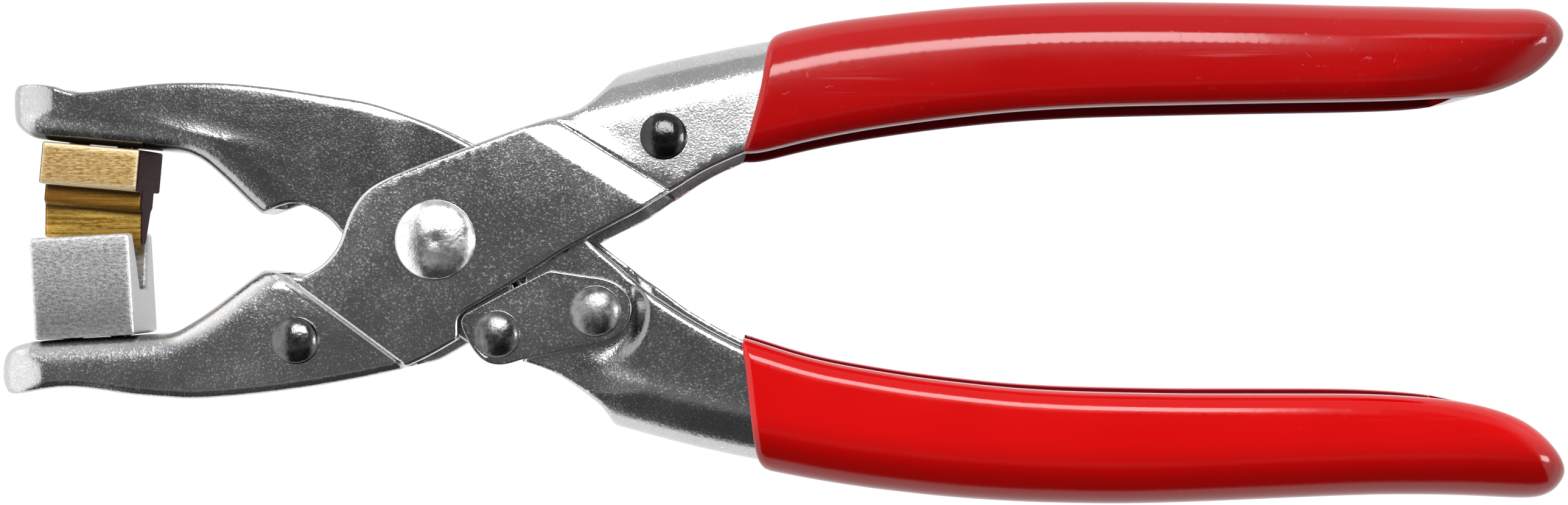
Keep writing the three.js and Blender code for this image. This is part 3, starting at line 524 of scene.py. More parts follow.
def turned(at, profile, n=72):
    """A body of revolution about a line along Z, from (radius, height) pairs that start and end on the axis."""
    a = np.arange(n) * 2 * math.pi / n
    c, s = np.cos(a), np.sin(a)
    verts, faces, rows = [], [], []
    for r, z in profile:
        if r < 1e-6:
            rows.append([len(verts)])
            verts.append((at[0], at[1], z))
        else:
            rows.append(list(range(len(verts), len(verts) + n)))
            verts += [(at[0] + r * c[k], at[1] + r * s[k], z) for k in range(n)]
    if len(rows[0]) > 1:  # a ring: its profile closes on itself
        rows.append(rows[0])
    for p, q in zip(rows, rows[1:]):
        for k in range(n):
            m = (k + 1) % n
            if len(p) == 1:
                faces.append([p[0], q[m], q[k]])
            elif len(q) == 1:
                faces.append([p[k], p[m], q[0]])
            else:
                faces.append([p[k], p[m], q[m], q[k]])
    return verts, faces


# ------------------------------------------------------------------ materials
def nodes_of(name):
    m = bpy.data.materials.new(name)
    m.use_nodes = True
    t = m.node_tree
    bsdf = next(n for n in t.nodes if n.type == "BSDF_PRINCIPLED")
    return m, t, bsdf


class Tree:
    """Short names for the nodes that the finishes share."""

    def __init__(self, t):
        self.t = t
        self.coord = t.nodes.new("ShaderNodeTexCoord").outputs["Object"]

    def link(self, a, b):
        self.t.links.new(a, b)

    def scaled(self, scale, rotate=(0, 0, 0)):
        n = self.t.nodes.new("ShaderNodeMapping")
        n.inputs["Scale"].default_value = scale
        n.inputs["Rotation"].default_value = rotate
        self.link(self.coord, n.inputs["Vector"])
        return n.outputs["Vector"]

    def noise(self, scale, detail=3.0, rough=0.55, vector=None, distort=0.0):
        n = self.t.nodes.new("ShaderNodeTexNoise")
        n.inputs["Scale"].default_value = scale
        n.inputs["Detail"].default_value = detail
        n.inputs["Roughness"].default_value = rough
        n.inputs["Distortion"].default_value = distort
        self.link(vector if vector is not None else self.coord, n.inputs["Vector"])
        return n.outputs["Fac"]

    def cells(self, scale, feature="F1", vector=None):
        n = self.t.nodes.new("ShaderNodeTexVoronoi")
        n.feature = feature
        n.inputs["Scale"].default_value = scale
        self.link(vector if vector is not None else self.coord, n.inputs["Vector"])
        return n.outputs["Distance"]

    def fit(self, value, a, b, c=0.0, d=1.0, smooth=True):
        n = self.t.nodes.new("ShaderNodeMapRange")
        n.interpolation_type = "SMOOTHSTEP" if smooth else "LINEAR"
        self.link(value, n.inputs["Value"])
        for key, v in (("From Min", a), ("From Max", b), ("To Min", c), ("To Max", d)):
            n.inputs[key].default_value = v
        return n.outputs["Result"]

    def math(self, op, a, b=None):
        n = self.t.nodes.new("ShaderNodeMath")
        n.operation = op
        for k, v in enumerate((a, b)):
            if v is None:
                continue
            if isinstance(v, (int, float)):
                n.inputs[k].default_value = v
            else:
                self.link(v, n.inputs[k])
        return n.outputs[0]

    def mix(self, f, a, b):
        n = self.t.nodes.new("ShaderNodeMix")
        n.data_type = "RGBA"
        self.link(f, n.inputs["Factor"])
        for key, v in ((6, a), (7, b)):
            if isinstance(v, tuple):
                n.inputs[key].default_value = (*v, 1.0)
            else:
                self.link(v, n.inputs[key])
        return n.outputs[2]

    def attribute(self, name):
        n = self.t.nodes.new("ShaderNodeAttribute")
        n.attribute_name = name
        return n.outputs["Fac"]

    def bump(self, height, strength, distance, normal=None):
        n = self.t.nodes.new("ShaderNodeBump")
        n.inputs["Strength"].default_value = strength
        n.inputs["Distance"].default_value = distance
        self.link(height, n.inputs["Height"])
        if normal is not None:
            self.link(normal, n.inputs["Normal"])
        return n.outputs["Normal"]


def plated_steel(name, tint, rough, speckle=1.0, bend_rough=0.0):
    """Plated sheet: fine bright speckle and orange peel, coarser and duller where the press has drawn it, and darkened
    by painted shade where its mask is set.
    """
    m, t, b = nodes_of(name)
    n = Tree(t)
    fine, mid, cloud = n.noise(3600, 2, 0.6), n.noise(1500, 3, 0.6), n.noise(90, 4, 0.6)
    pits = n.fit(n.cells(2300), 0.05, 0.3)
    drawn, bend = n.attribute("grain"), n.attribute("bend")
    base = n.mix(n.fit(cloud, 0.35, 0.68), tuple(c * 0.9 for c in tint), tint)
    base = n.mix(n.fit(n.math("ADD", fine, n.math("MULTIPLY", drawn, 0.05)), 0.6, 0.74, 0.0, 0.75 * speckle), base, tuple(min(1, c * 1.6) for c in tint))
    base = n.mix(n.math("MULTIPLY", n.fit(pits, 0.0, 1.0, 1.0, 0.0), 0.45 * speckle), base, tuple(c * 0.4 for c in tint))
    # painted shade: the base colour is darkened towards a tenth where the painted_shade mask is set, in place of
    # shadows and dimmer reflections
    base = n.mix(n.attribute("painted_shade"), base, tuple(c * 0.1 for c in tint))
    n.link(base, b.inputs["Base Color"])
    b.inputs["Metallic"].default_value = 1.0
    r = n.fit(cloud, 0.3, 0.7, rough - 0.03, rough + 0.04)
    r = n.math("ADD", r, n.math("MULTIPLY", n.fit(fine, 0.45, 0.7), 0.1))
    r = n.math("ADD", r, n.math("MULTIPLY", bend, bend_rough))
    r = n.math("ADD", r, n.math("MULTIPLY", drawn, 0.1))
    n.link(r, b.inputs["Roughness"])
    swell = n.bump(n.noise(110, 2, 0.5), 0.1, 0.0001)
    rough_skin = n.bump(n.math("MULTIPLY", n.noise(1100, 3, 0.65), n.math("ADD", n.math("MULTIPLY", drawn, 0.8), 0.01)), 0.7, 0.00012, swell)
    n.link(n.bump(n.math("ADD", fine, n.math("MULTIPLY", mid, 0.3)), 0.45 * speckle, 0.00003, rough_skin), b.inputs["Normal"])
    return m


def rivet_steel(name, tint, rough, lumps=0.5, dark=0.8):
    """A rivet head as set by a punch: smooth with slight lumps and pits, so that its highlights break up."""
    m, t, b = nodes_of(name)
    n = Tree(t)
    cloud, fine = n.noise(420, 4, 0.65), n.noise(2600, 3, 0.6)
    base = n.mix(n.fit(cloud, 0.35, 0.65), tuple(c * dark for c in tint), tint)
    base = n.mix(n.fit(fine, 0.6, 0.75, 0.0, 0.4), base, tuple(min(1, c * 1.5) for c in tint))
    n.link(base, b.inputs["Base Color"])
    b.inputs["Metallic"].default_value = 1.0
    n.link(n.fit(n.math("ADD", cloud, n.math("MULTIPLY", fine, 0.4)), 0.5, 0.9, rough - 0.05, rough + 0.09), b.inputs["Roughness"])
    low = n.bump(n.noise(560, 3, 0.6), lumps, 0.00012)
    n.link(n.bump(fine, 0.4, 0.00004, low), b.inputs["Normal"])
    return m


def cast_steel(name):
    """The lower die: light grey steel with a coarse peeled skin, paler at its worn edges."""
    m, t, b = nodes_of(name)
    n = Tree(t)
    grain, cloud, lump = n.noise(4200, 3, 0.7), n.noise(300, 3, 0.6), n.noise(2000, 3, 0.6, n.scaled((0.7, 1.3, 1.0)))
    wear = n.attribute("wear")
    base = n.mix(n.fit(n.math("ADD", n.math("MULTIPLY", grain, 0.5), n.math("MULTIPLY", lump, 0.5)), 0.36, 0.64), (0.19, 0.19, 0.19), (0.47, 0.47, 0.475))
    base = n.mix(n.fit(cloud, 0.42, 0.72, 0.0, 0.25), base, (0.24, 0.24, 0.24))
    base = n.mix(n.attribute("side"), base, (0.56, 0.56, 0.565))
    base = n.mix(n.attribute("low"), base, (0.05, 0.05, 0.05))
    base = n.mix(n.math("MULTIPLY", wear, n.fit(lump, 0.3, 0.6, 0.5, 0.95)), base, (0.9, 0.9, 0.9))
    n.link(base, b.inputs["Base Color"])
    b.inputs["Metallic"].default_value = 0.7
    n.link(n.fit(grain, 0.3, 0.7, 0.34, 0.5), b.inputs["Roughness"])
    low = n.bump(lump, 0.7, 0.00007)
    n.link(n.bump(grain, 0.7, 0.00003, low), b.inputs["Normal"])
    return m


def bronze(name):
    """The upper die: golden brown, a fine crystalline speckle drawn out along its length; painted shade darkens its
    ends and two lines under the block, and the block's paler tone is partly a painted sheen.
    """
    m, t, b = nodes_of(name)
    n = Tree(t)
    lines = n.noise(2700, 4, 0.65, n.scaled((0.45, 1.3, 1.3), (0, 0, 0.089)))
    rows = n.noise(760, 3, 0.6, n.scaled((0.08, 2.6, 2.6), (0, 0, 0.089)))
    cloud = n.noise(260, 3, 0.6)
    face, wear, low_part = n.attribute("end"), n.attribute("wear"), n.attribute("tongue")
    # the block's paler tone is partly its own and partly a painted sheen for the whitish glints on it; the tongue is
    # the deeper gold
    pale = n.mix(n.fit(lines, 0.36, 0.64), (0.28, 0.15, 0.04), (0.68, 0.485, 0.22))
    deep = n.mix(n.fit(n.math("ADD", n.math("MULTIPLY", lines, 0.45), n.math("MULTIPLY", rows, 0.55)), 0.38, 0.62), (0.26, 0.12, 0.01), (1.0, 0.65, 0.14))
    base = n.mix(low_part, pale, deep)
    base = n.mix(n.fit(cloud, 0.45, 0.75, 0.0, 0.35), base, (0.42, 0.25, 0.08))
    base = n.mix(n.math("MULTIPLY", wear, 0.75), base, (1.0, 0.86, 0.6))
    base = n.mix(n.math("MULTIPLY", n.attribute("neck"), 0.8), base, (0.2, 0.08, 0.008))
    # painted shade: two dark lines, just under the block and under the shoulder, in place of the shadows in those steps
    base = n.mix(n.attribute("line"), base, (0.03, 0.012, 0.002))
    # painted shade: the die's ends are darkened nearly black in place of their dim reflection
    base = n.mix(face, base, (0.032, 0.008, 0.009))
    n.link(base, b.inputs["Base Color"])
    b.inputs["Metallic"].default_value = 0.85
    n.link(n.math("ADD", n.fit(lines, 0.3, 0.7, 0.46, 0.3), n.math("MULTIPLY", face, 0.4)), b.inputs["Roughness"])
    low = n.bump(rows, 0.4, 0.00008)
    n.link(n.bump(lines, 0.65, 0.00005, low), b.inputs["Normal"])
    return m


def dipped_plastic(name, red, scuffs, ior=1.45):
    """Glossy dipped plastic: saturated red, faint waves, dust pits, scuffs that turn it paler and duller, and painted
    shade where its deep mask is set.
    """
    m, t, b = nodes_of(name)
    n = Tree(t)
    cloud = n.noise(45, 3, 0.5)
    lines = n.fit(n.noise(130, 3, 0.6, n.scaled((0.14, 4.5, 1.0), (0, 0, -0.04))), 0.6, 0.76)
    crumbs = n.fit(n.noise(620, 4, 0.7, None, 1.2), 0.62, 0.74)
    place = n.attribute("scuff")
    worn = n.math("MULTIPLY", n.math("MAXIMUM", lines, crumbs), n.math("MULTIPLY", place, scuffs))
    base = n.mix(n.fit(cloud, 0.3, 0.7), tuple(c * 0.93 for c in red), red)
    # painted shade: the red darkens towards 0.45 of itself where the deep mask is set
    base = n.mix(n.attribute("deep"), base, tuple(c * 0.45 for c in red))
    base = n.mix(n.math("MULTIPLY", worn, 0.35), base, (0.6, 0.14, 0.16))
    n.link(base, b.inputs["Base Color"])
    b.inputs["Metallic"].default_value = 0.0
    b.inputs["IOR"].default_value = ior
    n.link(n.math("ADD", n.fit(cloud, 0.3, 0.7, 0.1, 0.15), n.math("MULTIPLY", worn, 0.25)), b.inputs["Roughness"])
    low = n.bump(n.noise(60, 2, 0.5), 0.25, 0.0002)
    dust = n.fit(n.cells(420), 0.0, 0.09)
    mid = n.bump(dust, 0.12, 0.00004, low)
    n.link(n.bump(n.math("ADD", worn, n.math("MULTIPLY", n.noise(1500, 2, 0.5), 0.12)), 0.35, 0.00004, mid), b.inputs["Normal"])
    return m


STEEL = plated_steel("plated_sheet", (0.58, 0.58, 0.585), 0.12, 1.25, 0.11)
STEEL_JAW = plated_steel("plated_jaw", (0.52, 0.52, 0.525), 0.11, 1.0, 0.03)
STEEL_LINK = plated_steel("plated_link", (0.6, 0.6, 0.605), 0.12, 1.25)
# two finishes, bright plating and dark oxide; within them each head's tint and roughness are set one by one to its
# brightness, which paints light and shade onto copies of one finish
RIVET_BRIGHT = rivet_steel("rivet_bright", (0.84, 0.84, 0.84), 0.21, 0.55, 0.72)
RIVET_LINK = rivet_steel("rivet_link", (0.27, 0.27, 0.275), 0.29, 0.8, 0.5)
RIVET_LINK_JAW = rivet_steel("rivet_link_jaw", (0.19, 0.19, 0.195), 0.24, 0.85, 0.45)
RIVET_JAW = rivet_steel("rivet_jaw", (0.15, 0.15, 0.15), 0.17, 0.6, 0.6)
RIVET_DARK = rivet_steel("rivet_dark", (0.065, 0.065, 0.065), 0.15, 0.6, 0.7)
INNER = rivet_steel("turned_steel", (0.5, 0.5, 0.5), 0.35)
CAST = cast_steel("cast_die")
BRONZE = bronze("bronze_die")
RED = dipped_plastic("dipped_red", (0.57, 0.0003, 0.0003), 0.3)
# the upper grip's copy of the same red coat, made darker as painted shade, with heavier scuffs
RED_UPPER_SHADED = dipped_plastic("dipped_red_upper_shaded", (0.38, 0.0004, 0.0008), 1.0)
# painted shade: a dark, weakly reflecting red for the grips' hollow and the upper lip's underside
RED_SHADE_INSIDE = dipped_plastic("dipped_red_shade_inside", (0.14, 0.0012, 0.006), 0.0, 1.12)


# ------------------------------------------------------------------ frame arm
def skin(webs, wide, drawn, painted_shade=None):
    """Where the sheet is bent, how coarse the press has left it, and where painted shade darkens it."""
    return dict(
        bend=lambda co: 1 - ramp(nearest(co[:, :2], webs), 0.2 * wide, 1.1 * wide) if webs else np.zeros(len(co)),
        grain=lambda co: np.clip(drawn(co[:, :2]), 0, 1),
        painted_shade=lambda co: np.clip(painted_shade(co[:, :2]), 0, 1) if painted_shade else np.zeros(len(co)),
    )


def bump_at(q, centre, rx, ry, turn=0.0):
    """A soft spot: 1 at its centre, falling off along and across its length."""
    c, s = math.cos(math.radians(turn)), math.sin(math.radians(turn))
    x, y = q[:, 0] - centre[0], q[:, 1] - centre[1]
    return np.exp(-((x * c + y * s) / rx) ** 2 - ((-x * s + y * c) / ry) ** 2)


def nose_round(q, x0, wide, high=5.66):
    """The jaw's end is dished to a thin rounded tip; it starts at a faint crease."""
    return np.maximum(fall(q[:, 0] - x0, high, wide, 2.6) - 0.143, 0)


def joined(f, g, power=2.2):
    return (f ** power + g ** power) ** (1 / power)


def nose_rows(x0, low, high):
    y = np.arange(low, high, 0.42)
    return np.concatenate([np.stack([np.full(len(y), x0 + o), y], 1) for o in (0.35, 0.6, 0.9, 1.25, 1.6, 2.0, 2.45, 2.95, 3.5, 4.1, 4.7, 5.3, 5.9, 6.4, 6.58, 6.72, 7.2, 7.8)])


def parallel_rows(line, offsets, step=0.45, spare=3.0):
    (x0, y0), (x1, y1) = line
    l = math.hypot(x1 - x0, y1 - y0)
    u = np.array([(x1 - x0) / l, (y1 - y0) / l])
    nrm = np.array([-u[1], u[0]])
    s = np.arange(-spare, l + spare, step)
    return np.concatenate([np.array([x0, y0]) + s[:, None] * u + nrm * o for o in offsets])


def frame_arm():
    order = ["jaw_bottom", "nose_low", "nose", "jaw_top", "crown", "throat", "mid_top", "web_end", "handle_top", "handle_end", "handle_bottom", "notch", "mid_low"]
    loop, tags = join_runs([(k, A[k]) for k in order], 0.42, dict(nose=3, nose_low=2, notch=3, handle_top=60, handle_bottom=20))
    closed = {"nose", "jaw_top", "handle_top"}
    # both folded edges, led on past the plan so that its slanting ends cut through the bend
    jaw = run_path(loop, tags, {"nose", "jaw_top"})
    jaw = extended(jaw, [(-60.0, 7.2), (-66.2, 2.35)], [(-107.7, -20.74), (-107.0, -23.5)])
    handle = run_path(loop, tags, {"handle_top"})
    handle = extended(handle, [(112.0, 31.6), (104.0, 31.8)], [(-30.0, 23.4), (-40.0, 21.6)])
    opened = open_paths(loop, tags, closed)
    lower = run_path(loop, tags, {"handle_bottom"})
    wide_j, high_j, wide_h, high_h = 3.3, 2.6, 6.9, 5.4
    crown, under_jaw = run_path(loop, tags, {"crown"}), run_path(loop, tags, {"jaw_bottom"})

    def half(q):
        s, h = left_of(q, JAW_STEP), left_of(q, HANDLE_STEP)
        base = JAW_HALF + (MID_HALF - JAW_HALF) * (0.88 * np.clip((s + 0.38) / 0.66, 0, 1) + 0.12 * ramp(s, 0.1, 0.6)) - 0.03 * np.exp(-((s + 0.8) / 0.3) ** 2)
        down = np.clip((h + 3.4) / 3.4, 0, 1)
        drop = 0.68 * (0.85 * down + 0.15 * ramp(down, 0, 1)) + 0.12 * (1 - np.exp(-np.clip(h, 0, 12) / 1.6)) + 0.13 * np.exp(-((h - 0.12) / 0.2) ** 2)
        drop = drop + 0.06 * bump_at(q, (-18.6, 9.3), 1.3, 0.6, -58)
        # the handle's cheek leans a little towards its back
        d = path_distance(q, lower)
        lean = 0.046 * (d - 7.0) * ramp(h, -0.4, 2.5) * (1 - ramp(q[:, 0], 1, 9))
        return np.where(h > -6, base - drop - np.where(q[:, 0] < 10, lean, 0), base)

    def split(q):
        return left_of(q, JAW_STEP), left_of(q, HANDLE_STEP)

    def outer(q):
        s, h = split(q)
        dj, dh, e = path_distance(q, jaw), path_distance(q, handle), nearest(q, opened)
        on_jaw, on_handle = 1 - ramp(s, -0.4, 0.9), ramp(h, -2.6, 0.3)
        edge = fall(dj, high_j, wide_j) * on_jaw
        nose = nose_round(q, -109.1, 10.6 - 3.6 * ramp(q[:, 1], -15.4, -13.3))
        low = np.maximum(fall(e, 0.5, 0.62), fall(path_distance(q, under_jaw), 0.85, 1.35))
        glow = (slope_in(path_distance(q, crown), 2.2, 0.27, 0.4) + 0.2 * bump_at(q, (-71.5, -4.5), 5.5, 3.6)) * (1 - ramp(s, -0.9, -0.3))
        return half(q) - joined(edge, nose) - fall(dh, high_h, wide_h) * on_handle - low - glow

    def inner(q):
        s, h = split(q)
        dj, dh = path_distance(q, jaw) - SHEET, path_distance(q, handle) - SHEET
        on_jaw, on_handle = 1 - ramp(s, -0.4, 0.9), ramp(h, -2.6, 0.3)
        z = half(q) - SHEET - fall(dj, high_j - SHEET + 0.2, wide_j - SHEET + 0.2) * on_jaw - fall(dh, high_h - SHEET, wide_h - SHEET) * on_handle
        z = z + fall(nearest(q, opened), 0.25, 0.3) * 0.9
        return np.where(q[:, 0] < -99, np.minimum(z, outer(q) - 0.9), z)

    cuts = [moved(jaw, SHEET), moved(handle, SHEET)]
    rings = [(jaw, bend_rings(wide_j, 8)), (handle, bend_rings(wide_h, 14))] + [(p, [0.1] + bend_rings(0.62, 4)) for p in opened] + [(under_jaw, [0.85, 1.1, 1.35]), (crown, [0.9, 1.2, 1.5, 1.8, 2.1, 2.4])]
    extra = np.concatenate([
        parallel_rows(JAW_STEP, [-1.5, -1.1, -0.8, -0.55, -0.38, -0.15, 0.08, 0.28, 0.38, 0.48, 0.6, 0.8, 1.1, 1.5]),
        parallel_rows(HANDLE_STEP, [-3.7, -3.4, -3.1, -2.6, -2.0, -1.4, -0.8, -0.4, -0.2, -0.09, 0.01, 0.12, 0.23, 0.33, 0.48, 0.7, 1.0, 1.5, 2.1, 3.0]),
        nose_rows(-109.1, -20.0, -12.0),
    ])
    holes = [(MAIN_PIVOT, 3.5), (LOWER_JAW_RIVET, 2.1), (UPPER_HANDLE_RIVET, 2.1), (FULCRUM, 1.0)]
    verts, faces = folded_shell(loop, tags, closed, cuts, outer, inner, rings, holes[:3], extra, 1.4)
    # the back cheek is cut a little deeper than the front one along the handle's inside and under the middle
    v = np.array(verts, float)
    back = ramp(-v[:, 2], 0.5, 3.5)
    deep = np.interp(v[:, 0], [-45, -38, -30, -20, -15, -9, -5, 0, 30, 92], [0.0, 0.0, 0.9, 1.2, 1.0, 0.8, 0.75, 0.5, 0.45, 0.4])
    v[:, 1] -= back * deep * (1 - ramp(path_distance(v[:, :2], lower), 0.0, 4.5))
    under = run_path(loop, tags, {"mid_low"})
    v[:, 1] -= back * 0.8 * ramp(v[:, 0], -53.5, -49) * (1 - ramp(v[:, 0], -45.2, -44.0)) * (1 - ramp(path_distance(v[:, :2], under), 0.0, 3.5))

    def drawn(q):
        s, h = split(q)
        g = 0.9 * np.exp(-((h + 3.2) / 0.8) ** 2) + 0.45 * np.exp(-((h - 1.0) / 1.3) ** 2) + 0.8 * np.exp(-((path_distance(q, handle) - 4.7) / 0.9) ** 2) * ramp(h, -1, 1)
        # the spot at (-73.5, -14.5) left of the jaw rivet is partly a painted sheen: its extra bright speckle lightens
        # that patch of cheek
        g = g + 0.25 * np.exp(-((path_distance(q, jaw) - 2.0) / 1.3) ** 2) * (1 - ramp(s, -2, 0)) + 0.3 * bump_at(q, (-71, -7.5), 7, 3.5) + 0.4 * bump_at(q, (-73.5, -14.5), 6, 4.5) + 0.3 * np.exp(-((s - 0.4) / 0.4) ** 2)
        g = g + 0.5 * bump_at(q, (-104.5, -15.5), 3.0, 2.0) + 0.35 * bump_at(q, (-92, -15.0), 9, 1.6)
        return g

    # painted shade: the jaw's folded edge under the lower die is darkened nearly black in place of the shadowed
    # contact, and a band 2.3 mm in from the fold is darkened half as much
    piece("frame_arm_sheet", v, faces, "frame", ["frame_arm"], STEEL, 34, skin([jaw], 3.6, drawn, lambda q: 0.5 * np.exp(-((path_distance(q, jaw) - 2.3) / 0.6) ** 2) * ramp(q[:, 0], -104, -102) * (1 - ramp(q[:, 0], -86, -76)) + 0.95 * np.exp(-(path_distance(q, jaw) / 0.5) ** 2) * ramp(q[:, 0], -104.5, -103.5) * (1 - ramp(q[:, 0], -88, -86))))


# ------------------------------------------------------------------ upper jaw arm
def upper_jaw_arm():
    order = ["nose", "nose_top", "lip", "top", "hub", "tail_right", "tail_end", "tail_left", "hub_left", "throat", "web", "web_die"]
    loop, tags = join_runs([(k, B[k]) for k in order], 0.4, dict(nose=4, web_die=4, nose_top=4, lip=6))
    closed = {"nose", "web", "web_die"}
    web = run_path(loop, tags, closed)
    web = extended(web, [(-104.9, 30.0), (-105.9, 26.0)], [(-66.0, -0.6), (-60.0, -6.0)])
    opened = open_paths(loop, tags, closed)
    wide, high = 1.7, 2.3
    fold = dense([(-101.0, 17.6), (-90.7, 17.55), (-82.5, 16.6), (-75.2, 14.0), (-68.5, 9.2), (-61.0, 2.9)], 0.6, 20)

    def outer(q):
        d, e = path_distance(q, web), nearest(q, opened)
        top = ramp(q[:, 1], 12.0, 15.0) * (1 - ramp(q[:, 0], -58, -50)) * ramp(q[:, 0], -93, -80)
        rolled = fall(e, 0.42 - 0.22 * top, 0.5 - 0.25 * top) + top * slope_in(e, 0.7 + 0.65 * ramp(q[:, 0], -74, -54), 0.27)
        rolled = rolled - 0.12 * bump_at(q, (-79.0, 15.9), 8.0, 0.65, -14)
        # below a soft fold line the cheek leans towards the dies
        f = -left_of_path(q, fold)
        lean = 0.062 * np.clip(f, 0, 6) * ramp(f, -0.1, 0.9) * ramp(q[:, 0], -103, -97) * (1 - ramp(q[:, 0], -67, -60))
        return INNER_HALF - lean - joined(fall(d, high, wide), nose_round(q, -107.6, 6.6 + 3.8 * ramp(q[:, 1], 17.8, 19.8))) - rolled

    def inner(q):
        d = path_distance(q, web) - SHEET
        z = INNER_HALF - SHEET - fall(d, 0.6, 0.6) - 0.25
        z = z + fall(nearest(q, opened), 0.25, 0.3) * 0.9
        return np.where(q[:, 0] < -62, np.minimum(z, outer(q) - 0.9), z)

    cuts = [moved(web, SHEET)]
    rings = [(web, [0.06] + bend_rings(wide, 8) + [2.3, 3.0]), (fold[::-1], [0.02, 0.3, 0.6, 0.95, 1.5]), (fold, [0.3, 0.7])] + [(p, [0.12] + bend_rings(1.5, 7)) for p in opened]
    extra = nose_rows(-107.6, 15.0, 24.0)
    holes = [(MAIN_PIVOT, 4.56), (LINK_JAW_PIN, 2.12)]
    verts, faces = folded_shell(loop, tags, closed, cuts, outer, inner, rings, holes, extra, 1.3)

    def drawn(q):
        d, e = path_distance(q, web), nearest(q, opened)
        g = 0.9 * np.exp(-((d - 1.9) / 0.8) ** 2) + 0.6 * np.exp(-((e - 1.3) / 0.7) ** 2) * ramp(q[:, 1], 12, 15) * (1 - ramp(q[:, 0], -64, -56)) * (0.2 + 0.8 * ramp(q[:, 0], -82, -70))
        g = g + 0.5 * bump_at(q, (-80.0, 15.5), 9.0, 1.3, -14) + 0.8 * bump_at(q, (-102.6, 18.5), 1.8, 1.2) + 0.4 * bump_at(q, (-68, 8.0), 6, 1.5, -42)
        return g

    # painted shade: the web is darkened nearly black where the upper die sits on it, in place of the shadowed contact;
    # the cheek is also a little darker away from the nose, in two steps
    piece("upper_jaw_sheet", verts, faces, "jaw", ["upper_jaw_arm"], STEEL_JAW, 34, skin([web], 1.6, drawn, lambda q: 0.13 * ramp(q[:, 0], -104, -102) + 0.13 * ramp(q[:, 0], -92, -80) + 0.97 * np.exp(-(path_distance(q, web) / 1.15) ** 2) * ramp(q[:, 0], -104.5, -103.5) * (1 - ramp(q[:, 0], -86, -83))))


# ------------------------------------------------------------------ lower handle arm
def lower_handle_arm():
    order = ["boss", "end", "bottom", "front", "left"]
    loop, tags = join_runs([(k, C[k]) for k in order], 0.42, dict(bottom=60, boss=16, front=10, left=10))
    closed = {"bottom"}
    web = run_path(loop, tags, closed)
    web = extended(web, [(-44.0, -15.5), (-33.0, -20.6)], [(104.0, -31.6), (112.0, -31.5)])
    opened = open_paths(loop, tags, closed)
    wide, high = 8.0, 5.9
    px, py = LINK_HANDLE_PIN
    tilt = math.radians(11.7)  # the seat's lower edge runs along the link's

    def seat(q):
        x, y = q[:, 0] - px, q[:, 1] - py
        u, v = x * math.cos(tilt) + y * math.sin(tilt), y * math.cos(tilt) - x * math.sin(tilt)
        return np.where(v < 0, np.hypot(np.maximum(u, 0), v), np.maximum(u, 0)) - LINK_SEAT

    def half(q):
        r = seat(q)
        rise = 0.2 * np.clip(r / 2.6, 0, 1) + 0.8 * ramp(r, 0.0, 2.6)
        away = (1 - ramp(q[:, 0] - px, -3.0, 9.0)) * ramp(py - q[:, 1], 0.0, 4.0)
        return INNER_HALF + (HANDLE_HALF - INNER_HALF) * rise * (1 - away)

    def outer(q):
        d, e = path_distance(q, web), nearest(q, opened)
        a, b = half(q), HANDLE_HALF - fall(d, high, wide)
        m = 0.5 * (a + b - np.sqrt((a - b) ** 2 + 0.03))  # the lower of the two, with a soft join
        right = ramp(q[:, 0], -24, -16)
        return m + 0.0866 * (1 - ramp(np.abs(a - b), 0, 1)) - fall(e, 0.5, 0.62) * (1 - right) - fall(e, 0.8, 1.0) * right

    def inner(q):
        d = path_distance(q, web) - SHEET
        z = np.minimum(half(q) - SHEET, HANDLE_HALF - SHEET - fall(d, high - SHEET, wide - SHEET))
        return np.minimum(z, outer(q) - 1.0) + fall(nearest(q, opened), 0.25, 0.3) * 0.9

    cuts = [moved(web, SHEET)]
    rings = [(web, bend_rings(wide, 14))] + [(p, [0.1] + bend_rings(1.0, 6)) for p in opened]
    arc = np.radians(np.arange(-100, 60, 2.6))
    extra = np.concatenate([np.stack([px + r * np.cos(arc), py + r * np.sin(arc)], 1) for r in (5.2, 5.5, 5.8, 6.1, 6.4, 6.7, 7.0, 7.3, 7.6)])
    verts, faces = folded_shell(loop, tags, closed, cuts, outer, inner, rings, [(LINK_HANDLE_PIN, 2.06), (FULCRUM, 1.96)], extra, 1.4)
    v = np.array(verts, float)
    back, rim = ramp(-v[:, 2], 0.5, 3.5), run_path(loop, tags, {"boss"})
    deep = np.interp(v[:, 0], [-30, -24, -19, -14, -8, 0], [0.0, 0.3, 0.8, 0.35, 0.25, 0.25])
    v[:, 1] += back * deep * (1 - ramp(path_distance(v[:, :2], rim), 0.0, 4.0))

    def drawn(q):
        r = seat(q)
        g = 0.25 * np.exp(-((r - 1.2) / 1.2) ** 2) + 0.45 * bump_at(q, (-25.5, -1.8), 4.5, 2.2, -45) + 0.5 * bump_at(q, (-22.0, -16.5), 9, 1.2, -28)
        g = g + 0.55 * np.exp(-((path_distance(q, web) - 7.2) / 0.8) ** 2) * ramp(q[:, 0], -29, -24)
        g = g + 0.6 * np.exp(-((path_distance(q, web) - 2.2) / 0.8) ** 2) + 0.6 * np.exp(-((nearest(q, opened) - 1.3) / 0.6) ** 2) * ramp(q[:, 0], -24, -16)
        return g

    def painted_seat_shade(q):
        # painted shade: a ring round the link's seat is darkened in place of the link's shadow and a duller reflection,
        # and the cheek is a little darker away from its folded bottom
        r = seat(q)
        ring = 0.62 * ramp(r, -0.6, 0.4) * (1 - ramp(r, 2.0, 3.2)) * ramp(q[:, 0] - px, -6, 1)
        return np.maximum(ring, 0.2 * ramp(path_distance(q, web), 7.0, 9.0))

    piece("lower_handle_sheet", v, faces, "handle", ["lower_handle_arm"], STEEL, 34, skin([], 5.0, drawn, painted_seat_shade))


